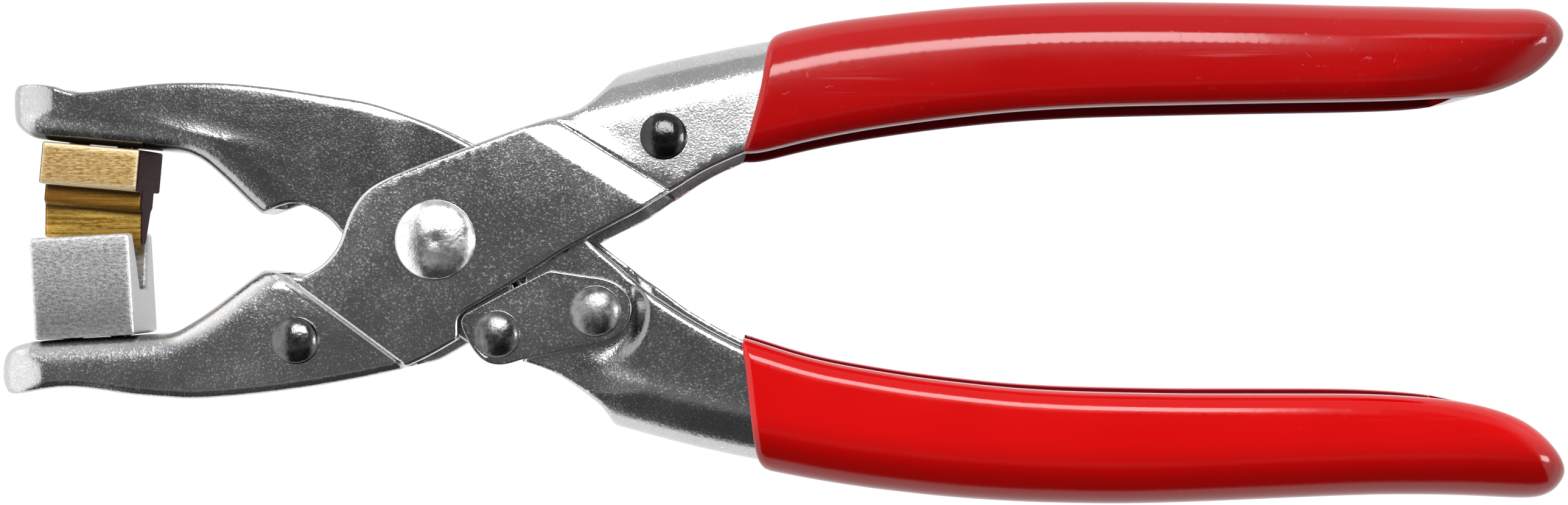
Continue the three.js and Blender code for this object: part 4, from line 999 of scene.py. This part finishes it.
# ------------------------------------------------------------------ link plates
def link_plate(side, node):
    loop, tags = join_runs([(str(i), r) for i, r in enumerate(LINK)], 0.35, {str(i): 6 for i in range(5)})
    ring = np.concatenate([loop, loop[:1]])
    holes = [circle(LINK_JAW_PIN, 2.1), circle(LINK_HANDLE_PIN, 2.1)]
    q = []
    for o in bend_rings(0.26, 4):
        p = ring + normals_of(ring) * o
        p = p[contains(loop, p)]
        q.append(p[path_distance(p, ring) > 0.95 * o])
    grid = lattice(loop, 1.3)
    grid = grid[contains(loop, grid)]
    q.append(grid[path_distance(grid, ring) > 0.9])
    free = thin_out(np.concatenate(q))
    for c in (LINK_JAW_PIN, LINK_HANDLE_PIN):
        free = free[np.hypot(free[:, 0] - c[0], free[:, 1] - c[1]) > 2.25]
    v, tri = fill(loop, holes, free)
    top = MID_HALF - fall(path_distance(v, ring), 0.14, 0.16)
    low = MID_HALF - SHEET
    polys = [[(v[k, 0], v[k, 1], side * top[k]) for k in t] for t in tri]
    polys += [[(v[k, 0], v[k, 1], side * low) for k in t[::-1]] for t in tri]
    for l, drop in [(loop, 0.14)] + [(h, 0.0) for h in holes]:
        for i in range(len(l)):
            k = (i + 1) % len(l)
            polys.append([(l[i, 0], l[i, 1], side * (MID_HALF - drop)), (l[k, 0], l[k, 1], side * (MID_HALF - drop)), (l[k, 0], l[k, 1], side * low), (l[i, 0], l[i, 1], side * low)])
    verts, faces = weld(polys)
    # painted shade: each plate is darkened along its rim, toning down its edge highlight
    piece(node + "_sheet", verts, faces, "link", [node], STEEL_LINK, 34, dict(bend=lambda co: np.zeros(len(co)), grain=lambda co: 0.3 * np.exp(-path_distance(co[:, :2], ring) / 0.5), painted_shade=lambda co: 0.55 * np.exp(-(path_distance(co[:, :2], ring) / 0.35) ** 2)))


# ------------------------------------------------------------------ rivets, pins, sleeves
def rivet(node, at, shank, head, half, dome, body, material, dimple=0.0, flat=0.0):
    """A rivet with a domed head outside each plate; the heads sit on the sheet."""
    seat = half + 0.04
    arc = []
    for i in range(0, 19):
        a = math.radians(90 * i / 18)
        r = head * math.cos(a)
        z = seat + 0.22 + (dome - 0.22) * math.sin(a) ** (1.0 + flat)
        if dimple and r < 1.3:
            z -= dimple * (1 + math.cos(math.pi * r / 1.3)) / 2
        arc.append((max(r, 0.0), z))
    arc[-1] = (0.0, arc[-1][1])
    top = [(shank, seat), (head - 0.12, seat), (head - 0.02, seat + 0.1)] + arc
    profile = [(r, -z) for r, z in top[::-1]] + top
    verts, faces = turned(at, profile, 96)
    piece(node + "_turned", verts, faces, body, [node], material, 40)


def sleeve(node, at, inner, outer, half, body):
    c = 0.15
    profile = [(inner, -half + c), (inner + c, -half), (outer - c, -half), (outer, -half + c), (outer, half - c), (outer - c, half), (inner + c, half), (inner, half - c)]
    verts, faces = turned(at, profile, 56)
    piece(node + "_turned", verts, faces, body, [node], INNER, 40)


def plain_pin(node, at, r, half, body):
    c = 0.25
    profile = [(0.0, -half), (r - c, -half), (r, -half + c), (r, half - c), (r - c, half), (0.0, half)]
    verts, faces = turned(at, profile, 56)
    piece(node + "_turned", verts, faces, body, [node], INNER, 40)


# ------------------------------------------------------------------ dies and their screws
def swept_bar(section, length, die, round_by, segments=3, cut=0, step=0.0):
    a = math.radians(die["angle"])
    u, v = np.array([math.cos(a), math.sin(a)]), np.array([-math.sin(a), math.cos(a)])
    bm = bmesh.new()
    n = cut + 2
    rows = []
    for k in range(n):
        s = -length / 2 + length * k / (n - 1)
        rows.append([bm.verts.new((die["centre"][0] + u[0] * s + v[0] * y, die["centre"][1] + u[1] * s + v[1] * y, z)) for z, y in section])
    bm.faces.new(rows[0][::-1])
    bm.faces.new(rows[-1])
    m = len(section)
    for p, q in zip(rows, rows[1:]):
        for i in range(m):
            bm.faces.new([p[i], p[(i + 1) % m], q[(i + 1) % m], q[i]])
    bmesh.ops.recalc_face_normals(bm, faces=bm.faces)
    sharp = [e for e in bm.edges if len(e.link_faces) == 2 and e.calc_face_angle(0) > 0.5]
    bmesh.ops.bevel(bm, geom=sharp, offset=round_by, segments=segments, profile=0.5, affect="EDGES", clamp_overlap=True)
    bmesh.ops.triangulate(bm, faces=[f for f in bm.faces if len(f.verts) > 4])
    for _ in range(3 if step else 0):  # fine enough for the wear along its edges
        long_edges = [e for e in bm.edges if e.calc_length() > step]
        if long_edges:
            bmesh.ops.subdivide_edges(bm, edges=long_edges, cuts=1, use_grid_fill=True)
            bmesh.ops.triangulate(bm, faces=[f for f in bm.faces if len(f.verts) > 4])
    verts = [tuple(p.co) for p in bm.verts]
    bm.verts.index_update()
    faces = [[p.index for p in f.verts] for f in bm.faces]
    bm.free()
    return verts, faces


def dies():
    h, w = LOWER_DIE["height"] / 2, 6.0
    section = [(-w, -h), (w, -h), (w, h), (3.8, h), (1.6, h - 7.8), (-1.6, h - 7.8), (-3.8, h), (-w, h)]
    verts, faces = swept_bar(section, LOWER_DIE["length"], LOWER_DIE, 0.55, 4, 24, 0.7)

    def local(die):
        a = math.radians(die["angle"])
        return lambda co: ((co[:, 0] - die["centre"][0]) * math.cos(a) + (co[:, 1] - die["centre"][1]) * math.sin(a), (co[:, 1] - die["centre"][1]) * math.cos(a) - (co[:, 0] - die["centre"][0]) * math.sin(a))

    def worn(die, half_z, y_levels):
        place = local(die)

        def fn(co):
            u, v = place(co)
            far = np.stack([np.abs(np.abs(u) - die["length"] / 2), np.abs(np.abs(co[:, 2]) - half_z), np.min([np.abs(v - y) for y in y_levels], 0)])
            far.sort(0)
            return np.exp(-(np.hypot(far[0], far[1]) / 0.42) ** 2)
        return fn

    piece("lower_die_block", verts, faces, "frame", ["lower_die"], CAST, 40, dict(
        side=lambda co: 0.7 * ramp(np.abs(local(LOWER_DIE)(co)[0]), LOWER_DIE["length"] / 2 - 0.4, LOWER_DIE["length"] / 2 - 0.1),
        wear=worn(LOWER_DIE, w, (-h, h)), low=lambda co: 0.6 * (1 - ramp(local(LOWER_DIE)(co)[1], -7.0, 4.5)) * ramp(w + 0.1 - np.abs(co[:, 2]), 0.6, 0.1)))
    h = UPPER_DIE["height"] / 2
    section = [(-w, -h), (-3.1, -h), (-3.1, -h - 2.3), (-2.35, -h - 2.8), (-1.2, -h - 7.4), (1.2, -h - 7.4), (2.35, -h - 2.8), (3.1, -h - 2.3), (3.1, -h), (w, -h), (w, h), (-w, h)]
    verts, faces = swept_bar(section, UPPER_DIE["length"], UPPER_DIE, 0.35, 4, 24, 0.7)
    spot = local(UPPER_DIE)
    piece("upper_die_block", verts, faces, "jaw", ["upper_die"], BRONZE, 40, dict(
        wear=worn(UPPER_DIE, w, (-h, h)),
        # end: where the die's ends get painted shade
        end=lambda co: ramp(np.abs(spot(co)[0]), UPPER_DIE["length"] / 2 - 0.3, UPPER_DIE["length"] / 2 - 0.1),
        tongue=lambda co: 1 - ramp(spot(co)[1], -h - 0.3, -h + 0.1),
        neck=lambda co: (1 - ramp(spot(co)[1], -h - 0.3, -h + 0.1)) * ramp(spot(co)[1], -h - 3.0, -h - 2.3),
        # line: the two painted shadow lines under the block and under the shoulder
        line=lambda co: np.clip(0.95 * np.exp(-((spot(co)[1] + h + 0.25) / 0.42) ** 2) + 0.95 * np.exp(-((spot(co)[1] + h + 2.95) / 0.4) ** 2), 0, 1) * ramp(5.0 - np.abs(co[:, 2]), 0, 0.5)))
    for die, side, reach, body, stem in ((UPPER_DIE, 1, 4.4, "jaw", "upper_die_screw_"), (LOWER_DIE, -1, 5.0, "frame", "lower_die_screw_")):
        a = math.radians(die["angle"])
        u, d = np.array([math.cos(a), math.sin(a)]), np.array([-math.sin(a), math.cos(a)]) * side
        for i, k in enumerate((-0.5, 0.5)):
            at = np.array(die["centre"]) + u * k * 6.8 + d * die["height"] / 2
            seat, top = 2.0, 3.7
            profile = [(0, -reach), (1.2, -reach), (1.45, -reach + 0.3), (1.45, seat - 0.02), (2.55, seat), (2.7, seat + 0.15), (2.7, top - 0.35), (2.35, top), (1.4, top), (1.3, top - 0.05), (1.25, seat + 0.7), (0, seat + 0.55)]
            verts, faces = turned((0, 0), profile, 48)
            v = np.array(verts)
            # the socket is six-sided
            r = np.hypot(v[:, 0], v[:, 1])
            t = np.arctan2(v[:, 1], v[:, 0])
            hexed = np.cos(math.pi / 6) / np.cos((t % (math.pi / 3)) - math.pi / 6)
            inside = (r > 1.2) & (r < 1.28) & (v[:, 2] > seat)
            v[inside, :2] *= hexed[inside, None] * 1.08
            p = np.empty_like(v)
            p[:, 0] = at[0] + d[0] * v[:, 2] - d[1] * v[:, 0] * side
            p[:, 1] = at[1] + d[1] * v[:, 2] + d[0] * v[:, 0] * side
            p[:, 2] = v[:, 1]
            node = f"{stem}{i + 1}"
            piece(node + "_turned", p, faces, body, [node], RIVET_DARK, 40)


# ------------------------------------------------------------------ return spring
def spring():
    x, y, r, turns, start, n = MAIN_PIVOT[0], MAIN_PIVOT[1], 6.1, 3.62, 218, 220
    leg = lambda deg: (math.cos(math.radians(deg)), math.sin(math.radians(deg)))
    pts = []
    a0 = leg(start)
    for k in (9, 7.5, 6, 4.5, 3, 1.5):
        pts.append((x + a0[0] * r + a0[1] * k, y + a0[1] * r - a0[0] * k, -3.1 - 0.2 * k / 9))
    for i in range(n + 1):
        c = leg(start + i / n * turns * 360)
        pts.append((x + c[0] * r, y + c[1] * r, -3.1 + 6.2 * i / n))
    a1 = leg(start + turns * 360)
    for k in (1.5, 3, 4.5, 6):
        pts.append((x + a1[0] * r - a1[1] * k, y + a1[1] * r + a1[0] * k, 3.1 + 0.2 * k / 6))
    p = np.array(pts)
    d = np.gradient(p, axis=0)
    d /= np.linalg.norm(d, axis=1, keepdims=True)
    side = np.stack([-d[:, 1], d[:, 0], np.zeros(len(d))], 1)
    side /= np.linalg.norm(side, axis=1, keepdims=True)
    up = np.cross(d, side)
    m = 12
    verts, faces = [], []
    for i in range(len(p)):
        for k in range(m):
            a = 2 * math.pi * k / m
            verts.append(tuple(p[i] + 0.6 * (math.cos(a) * side[i] + math.sin(a) * up[i])))
    for i in range(len(p) - 1):
        for k in range(m):
            faces.append([i * m + k, i * m + (k + 1) % m, (i + 1) * m + (k + 1) % m, (i + 1) * m + k])
    faces.append(list(range(m))[::-1])
    faces.append([(len(p) - 1) * m + k for k in range(m)])
    piece("return_spring_wire", verts, faces, "frame", ["return_spring"], INNER, 50)


# ------------------------------------------------------------------ grips
def grip(runs, order, side, channel, name, node, body, material, scuff, deep):
    loop, tags = join_runs([(k, runs[k]) for k in order], 0.45, dict(back=50, lip=50, left=10))
    closed = {"back", "lip"}
    back, lip, left = (run_path(loop, tags, {k}) for k in ("back", "lip", "left"))
    wall = 1.75
    # the hollow follows the handle's folded edge, and ends just past the handle
    inward = dense(channel, 0.45, 30)
    inward = moved(inward, -0.12)
    keep = inward[inward[:, 0] < HANDLE_END + 0.3]
    if side > 0:  # back runs from the tip to the left
        edge_y = keep[0, 1]
        down = [(HANDLE_END + 0.3, y) for y in np.arange(10.0, edge_y, 0.8)]
        tail = [tuple(keep[-1] + (keep[-1] - keep[-4]) * k) for k in (1, 3, 6, 12)]
        cut = np.array(down + [(HANDLE_END + 0.3, edge_y)] + [tuple(p) for p in keep] + tail)
    else:
        edge_y = keep[-1, 1]
        head = [tuple(keep[0] + (keep[0] - keep[3]) * k) for k in (12, 6, 3, 1)]
        up = [(HANDLE_END + 0.3, y) for y in np.arange(edge_y, -10.0, 0.8)]
        cut = np.array(head + [tuple(p) for p in keep] + up)
    # the back's path led on past the left end, so that the left end cuts through its round
    far = tuple(back[-1] + (back[-1] - back[-4]) / np.linalg.norm(back[-1] - back[-4]) * 22) if side > 0 else tuple(back[0] + (back[0] - back[3]) / np.linalg.norm(back[0] - back[3]) * 22)
    back_x = extended(back, (), [far]) if side > 0 else extended(back, [far], ())
    lip_far = tuple(lip[0] + (lip[0] - lip[6]) / np.linalg.norm(lip[0] - lip[6]) * 12) if side > 0 else tuple(lip[-1] + (lip[-1] - lip[-7]) / np.linalg.norm(lip[-1] - lip[-7]) * 12)
    lip_x = extended(lip, [lip_far], ()) if side > 0 else extended(lip, (), [lip_far])

    def parts(q):
        d, e, l = path_distance(q, back_x), path_distance(q, lip_x), path_distance(q, left)
        tip = ramp(q[:, 0], 84, 106)
        return d, e, l, tip

    def var_fall(d, high, wide):
        q2 = np.clip((wide - d) / wide, 0, 1)
        return high * (1 - np.sqrt(np.maximum(0, 1 - q2 * q2)))

    def outer(q):
        d, e, l, tip = parts(q)
        f1 = var_fall(d, 5.6 + 0.6 * tip, 6.2 + 0.8 * tip)
        if side > 0:
            f2 = var_fall(e, 0.8 + 0.3 * tip, 0.4 + 0.2 * tip) + var_fall(e, 2.0 + 1.6 * tip, 4.2 + 2.6 * tip)
        else:
            f2 = var_fall(e, 2.4 + 1.0 * tip, 2.5 + 1.4 * tip)
        drop = (f1 ** 2.6 + f2 ** 2.6) ** (1 / 2.6)
        v = d / np.maximum(d + e, 1e-6)
        crown = 0.5 * (2 * (v - 0.52)) ** 2
        return GRIP_HALF - drop - crown - var_fall(l, 0.9, 1.1)

    def inner(q):
        d, e, l, tip = parts(q)
        lip_wall = 4.9 + var_fall(e, 1.0, 1.1)
        pocket = HANDLE_HALF + 0.06 - (fall(d - wall, 5.4, 6.9) if side > 0 else fall(d - wall, 5.9, 8.0))
        return np.where(e < 2.0, lip_wall, np.maximum(lip_wall, pocket) if side else pocket) * 1.0

    def inner_safe(q):
        return np.minimum(inner(q), outer(q) - 0.6)

    rings = [(back_x, bend_rings(7.0, 16)), (lip_x, bend_rings(0.42, 4) + [0.6, 0.85, 1.15, 1.5, 1.9, 2.3, 2.8, 3.4, 4.0, 4.8, 5.6, 6.6]), (left, bend_rings(1.1, 5))]
    verts, faces = folded_shell(loop, tags, closed, [cut], outer, inner_safe, rings, (), None, 1.5)
    # the lip's front edge stands back a little and its back edge stands out, as the cheeks under them do
    v = np.array(verts, float)
    if side > 0:
        near = 1 - ramp(path_distance(v[:, :2], lip), 0.0, 4.0)
        v[:, 1] += near * (1 - ramp(v[:, 0], 88, 100)) * (0.45 * ramp(v[:, 2], 0.5, 4.0) - 0.3 * ramp(-v[:, 2], 0.5, 4.0))
    # scuff marks real wear; deep carries the painted shade
    ob = piece(name, v, faces, body, [node], material, 36, dict(scuff=scuff, deep=deep))
    # painted shade: the hollow's faces and the upper lip's underside get the dark red
    ob.data.materials.append(RED_SHADE_INSIDE)
    at = np.array([p.center[:] for p in ob.data.polygons]) / MM - SHIFT
    up = np.array([p.normal[:] for p in ob.data.polygons])
    close = path_distance(at[:, :2], lip) < 0.7
    inside = (up[:, 2] * np.sign(at[:, 2]) < -0.3) & (at[:, 0] < HANDLE_END)
    under = close & (up[:, 1] * side < -0.6) & (np.abs(at[:, 2]) < 7.2)
    ob.data.polygons.foreach_set("material_index", np.where(inside | (under & (side > 0)), 1, 0).astype(np.int32))


def scuff_upper(co):
    x, y = co[:, 0], co[:, 1]
    a = np.exp(-(((x - 68) / 14) ** 2 + ((y - 27) / 3.5) ** 2))
    b = np.exp(-(((x - 86) / 12) ** 2 + ((y - 28.5) / 3.0) ** 2))
    c = 0.5 * np.exp(-(((x - 8) / 9) ** 2 + ((y - 22) / 5) ** 2))
    return np.clip(a + b + c + 0.05, 0, 1)


def scuff_lower(co):
    x, y = co[:, 0], co[:, 1]
    a = 0.8 * np.exp(-(((x - 78) / 14) ** 2 + ((y + 23.5) / 2.2) ** 2))
    return np.clip(a + 0.05, 0, 1)


def painted_shade_upper(co):
    """Painted shade: darker towards the inner end and along the lip."""
    return np.clip(0.08 * (1 - ramp(co[:, 0], 8, 42)) + 0.62 * (1 - ramp(co[:, 1] - np.interp(co[:, 0], [-5, 5, 20, 45, 80, 108], [13, 15.5, 18, 19.9, 20.6, 30]), 0.5, 4.5)), 0, 1)


def painted_shade_lower(co):
    # painted shade: darker towards the grip's bottom edge
    low = -np.interp(co[:, 0], [-3, 6, 20, 45, 80, 108], [30.2, 31.8, 33.6, 34.8, 33.6, 33])
    return np.clip(0.95 * (1 - ramp(co[:, 1] - low, 2.5, 9.0)), 0, 1)


# ------------------------------------------------------------------ build
frame_arm()
upper_jaw_arm()
lower_handle_arm()
link_plate(1, "link_plate_front")
link_plate(-1, "link_plate_back")
rivet("main_pivot_rivet", MAIN_PIVOT, 3.4, 5.5, MID_HALF, 1.7, "frame", RIVET_BRIGHT, 0.12)
rivet("link_jaw_rivet", LINK_JAW_PIN, 2.0, 3.25, MID_HALF, 1.6, "link", RIVET_LINK_JAW)
rivet("link_handle_rivet", LINK_HANDLE_PIN, 2.0, 3.5, MID_HALF, 1.6, "link", RIVET_LINK)
rivet("lower_jaw_rivet", LOWER_JAW_RIVET, 2.0, 3.25, JAW_HALF, 1.6, "frame", RIVET_JAW)
rivet("upper_handle_rivet", UPPER_HANDLE_RIVET, 2.0, 3.25, HANDLE_HALF, 1.6, "frame", RIVET_DARK)
sleeve("main_pivot_bush", MAIN_PIVOT, 3.5, 4.5, 6.4, "frame")
sleeve("link_jaw_spacer", LINK_JAW_PIN, 2.1, 3.0, 4.5, "link")
sleeve("link_handle_spacer", LINK_HANDLE_PIN, 2.1, 3.0, 4.5, "link")
sleeve("fulcrum_spacer", FULCRUM, 2.0, 2.9, 4.5, "handle")
sleeve("lower_jaw_spacer", LOWER_JAW_RIVET, 2.1, 3.2, 4.8, "frame")
sleeve("upper_handle_spacer", UPPER_HANDLE_RIVET, 2.1, 3.2, 5.6, "frame")
plain_pin("fulcrum_pin", FULCRUM, 1.9, 7.4, "frame")
dies()
spring()
grip(GRIP_UPPER, ["left", "lip", "back"], 1, A["handle_top"][::-1], "upper_grip_dipped", "upper_grip", "frame", RED_UPPER_SHADED, scuff_upper, painted_shade_upper)
grip(GRIP_LOWER, ["left", "back", "lip"], -1, C["bottom"][::-1], "lower_grip_dipped", "lower_grip", "handle", RED, scuff_lower, painted_shade_lower)

# ------------------------------------------------------------------ stage
floor_mesh = bpy.data.meshes.new("floor")
floor_mesh.from_pydata([(-3, -3, 0), (3, -3, 0), (3, 3, 0), (-3, 3, 0)], [], [(0, 1, 2, 3)])
floor = bpy.data.objects.new("floor", floor_mesh)
floor.location.z = -0.0004
bpy.context.scene.collection.objects.link(floor)
fm = bpy.data.materials.new("floor_white")
fm.use_nodes = True
ft = fm.node_tree
ft.nodes.clear()
fe = ft.nodes.new("ShaderNodeEmission")
fe.inputs["Color"].default_value = (1, 1, 1, 1)
fe.inputs["Strength"].default_value = 1.1
fo = ft.nodes.new("ShaderNodeOutputMaterial")
ft.links.new(fe.outputs[0], fo.inputs[0])
floor_mesh.materials.append(fm)

world = bpy.data.worlds.new("studio")
bpy.context.scene.world = world
world.use_nodes = True
wt = world.node_tree
wt.nodes.clear()
wc = wt.nodes.new("ShaderNodeTexCoord")
ws = wt.nodes.new("ShaderNodeSeparateXYZ")
wb = wt.nodes.new("ShaderNodeBackground")
wo = wt.nodes.new("ShaderNodeOutputWorld")
wt.links.new(wc.outputs["Generated"], ws.inputs[0])


def wall(axis, a, b, value):
    """Light that comes in on one side: from a to b along an axis of the sky it rises to the value."""
    n = wt.nodes.new("ShaderNodeMapRange")
    n.interpolation_type = "SMOOTHSTEP"
    wt.links.new(ws.outputs[axis], n.inputs["Value"])
    for key, v in (("From Min", a), ("From Max", b), ("To Min", 0.0), ("To Max", value)):
        n.inputs[key].default_value = v
    return n.outputs["Result"]


sky = None
for part in (wall("Y", -0.15, -0.55, -0.07), wall("Y", 0.48, 0.72, 0.47), wall("X", -0.4, -0.57, 1.35), wall("X", 0.5, 0.75, 0.9), wall("Z", 0.12, 0.0, 0.55)):
    n = wt.nodes.new("ShaderNodeMath")
    n.operation = "ADD"
    wt.links.new(part, n.inputs[0])
    if sky is None:
        n.inputs[1].default_value = 0.13
    else:
        wt.links.new(sky, n.inputs[1])
    sky = n.outputs[0]
wt.links.new(sky, wb.inputs[0])
wb.inputs[1].default_value = 1.0
wt.links.new(wb.outputs[0], wo.inputs[0])


def softbox(name, at, aim, size, power):
    data = bpy.data.lights.new(name, "AREA")
    data.shape = "RECTANGLE"
    data.size, data.size_y = size
    data.energy = power
    ob = bpy.data.objects.new(name, data)
    ob.location = at
    ob.rotation_euler = (Vector(aim) - Vector(at)).to_track_quat("-Z", "Y").to_euler()
    bpy.context.scene.collection.objects.link(ob)
    return ob


softbox("key_softbox", (0.0, 0.30, 0.62), (0.0, 0.02, 0.0), (0.42, 0.26), 4.1)
softbox("key_halo", (0.0, 0.139, 0.68), (0.0, 0.0, 0.0), (0.5, 0.09), 0.11)
softbox("low_fill", (0.0, -0.20, 0.60), (0.0, 0.0, 0.0), (0.6, 0.10), 0.022)

card = softbox("right_card", (0.55, 0.0, 0.36), (0.1, 0.0, 0.0), (0.2, 0.2), 1.5)
card.visible_diffuse = False  # a small bright card for the grips' ends and the rivets' right sides

cam_data = bpy.data.cameras.new("camera")
cam_data.sensor_fit = "HORIZONTAL"
cam_data.sensor_width = 36.0
cam_data.lens = 3797 * 36 / 2576
cam_data.clip_start = 0.01
cam = bpy.data.objects.new("camera", cam_data)
cam.location = (0.00048, 0.0, 0.335)
cam.rotation_euler = (0, 0, 0)
bpy.context.scene.collection.objects.link(cam)
bpy.context.scene.camera = cam
bpy.context.scene.view_settings.view_transform = "Standard"
bpy.context.scene.view_settings.look = "None"
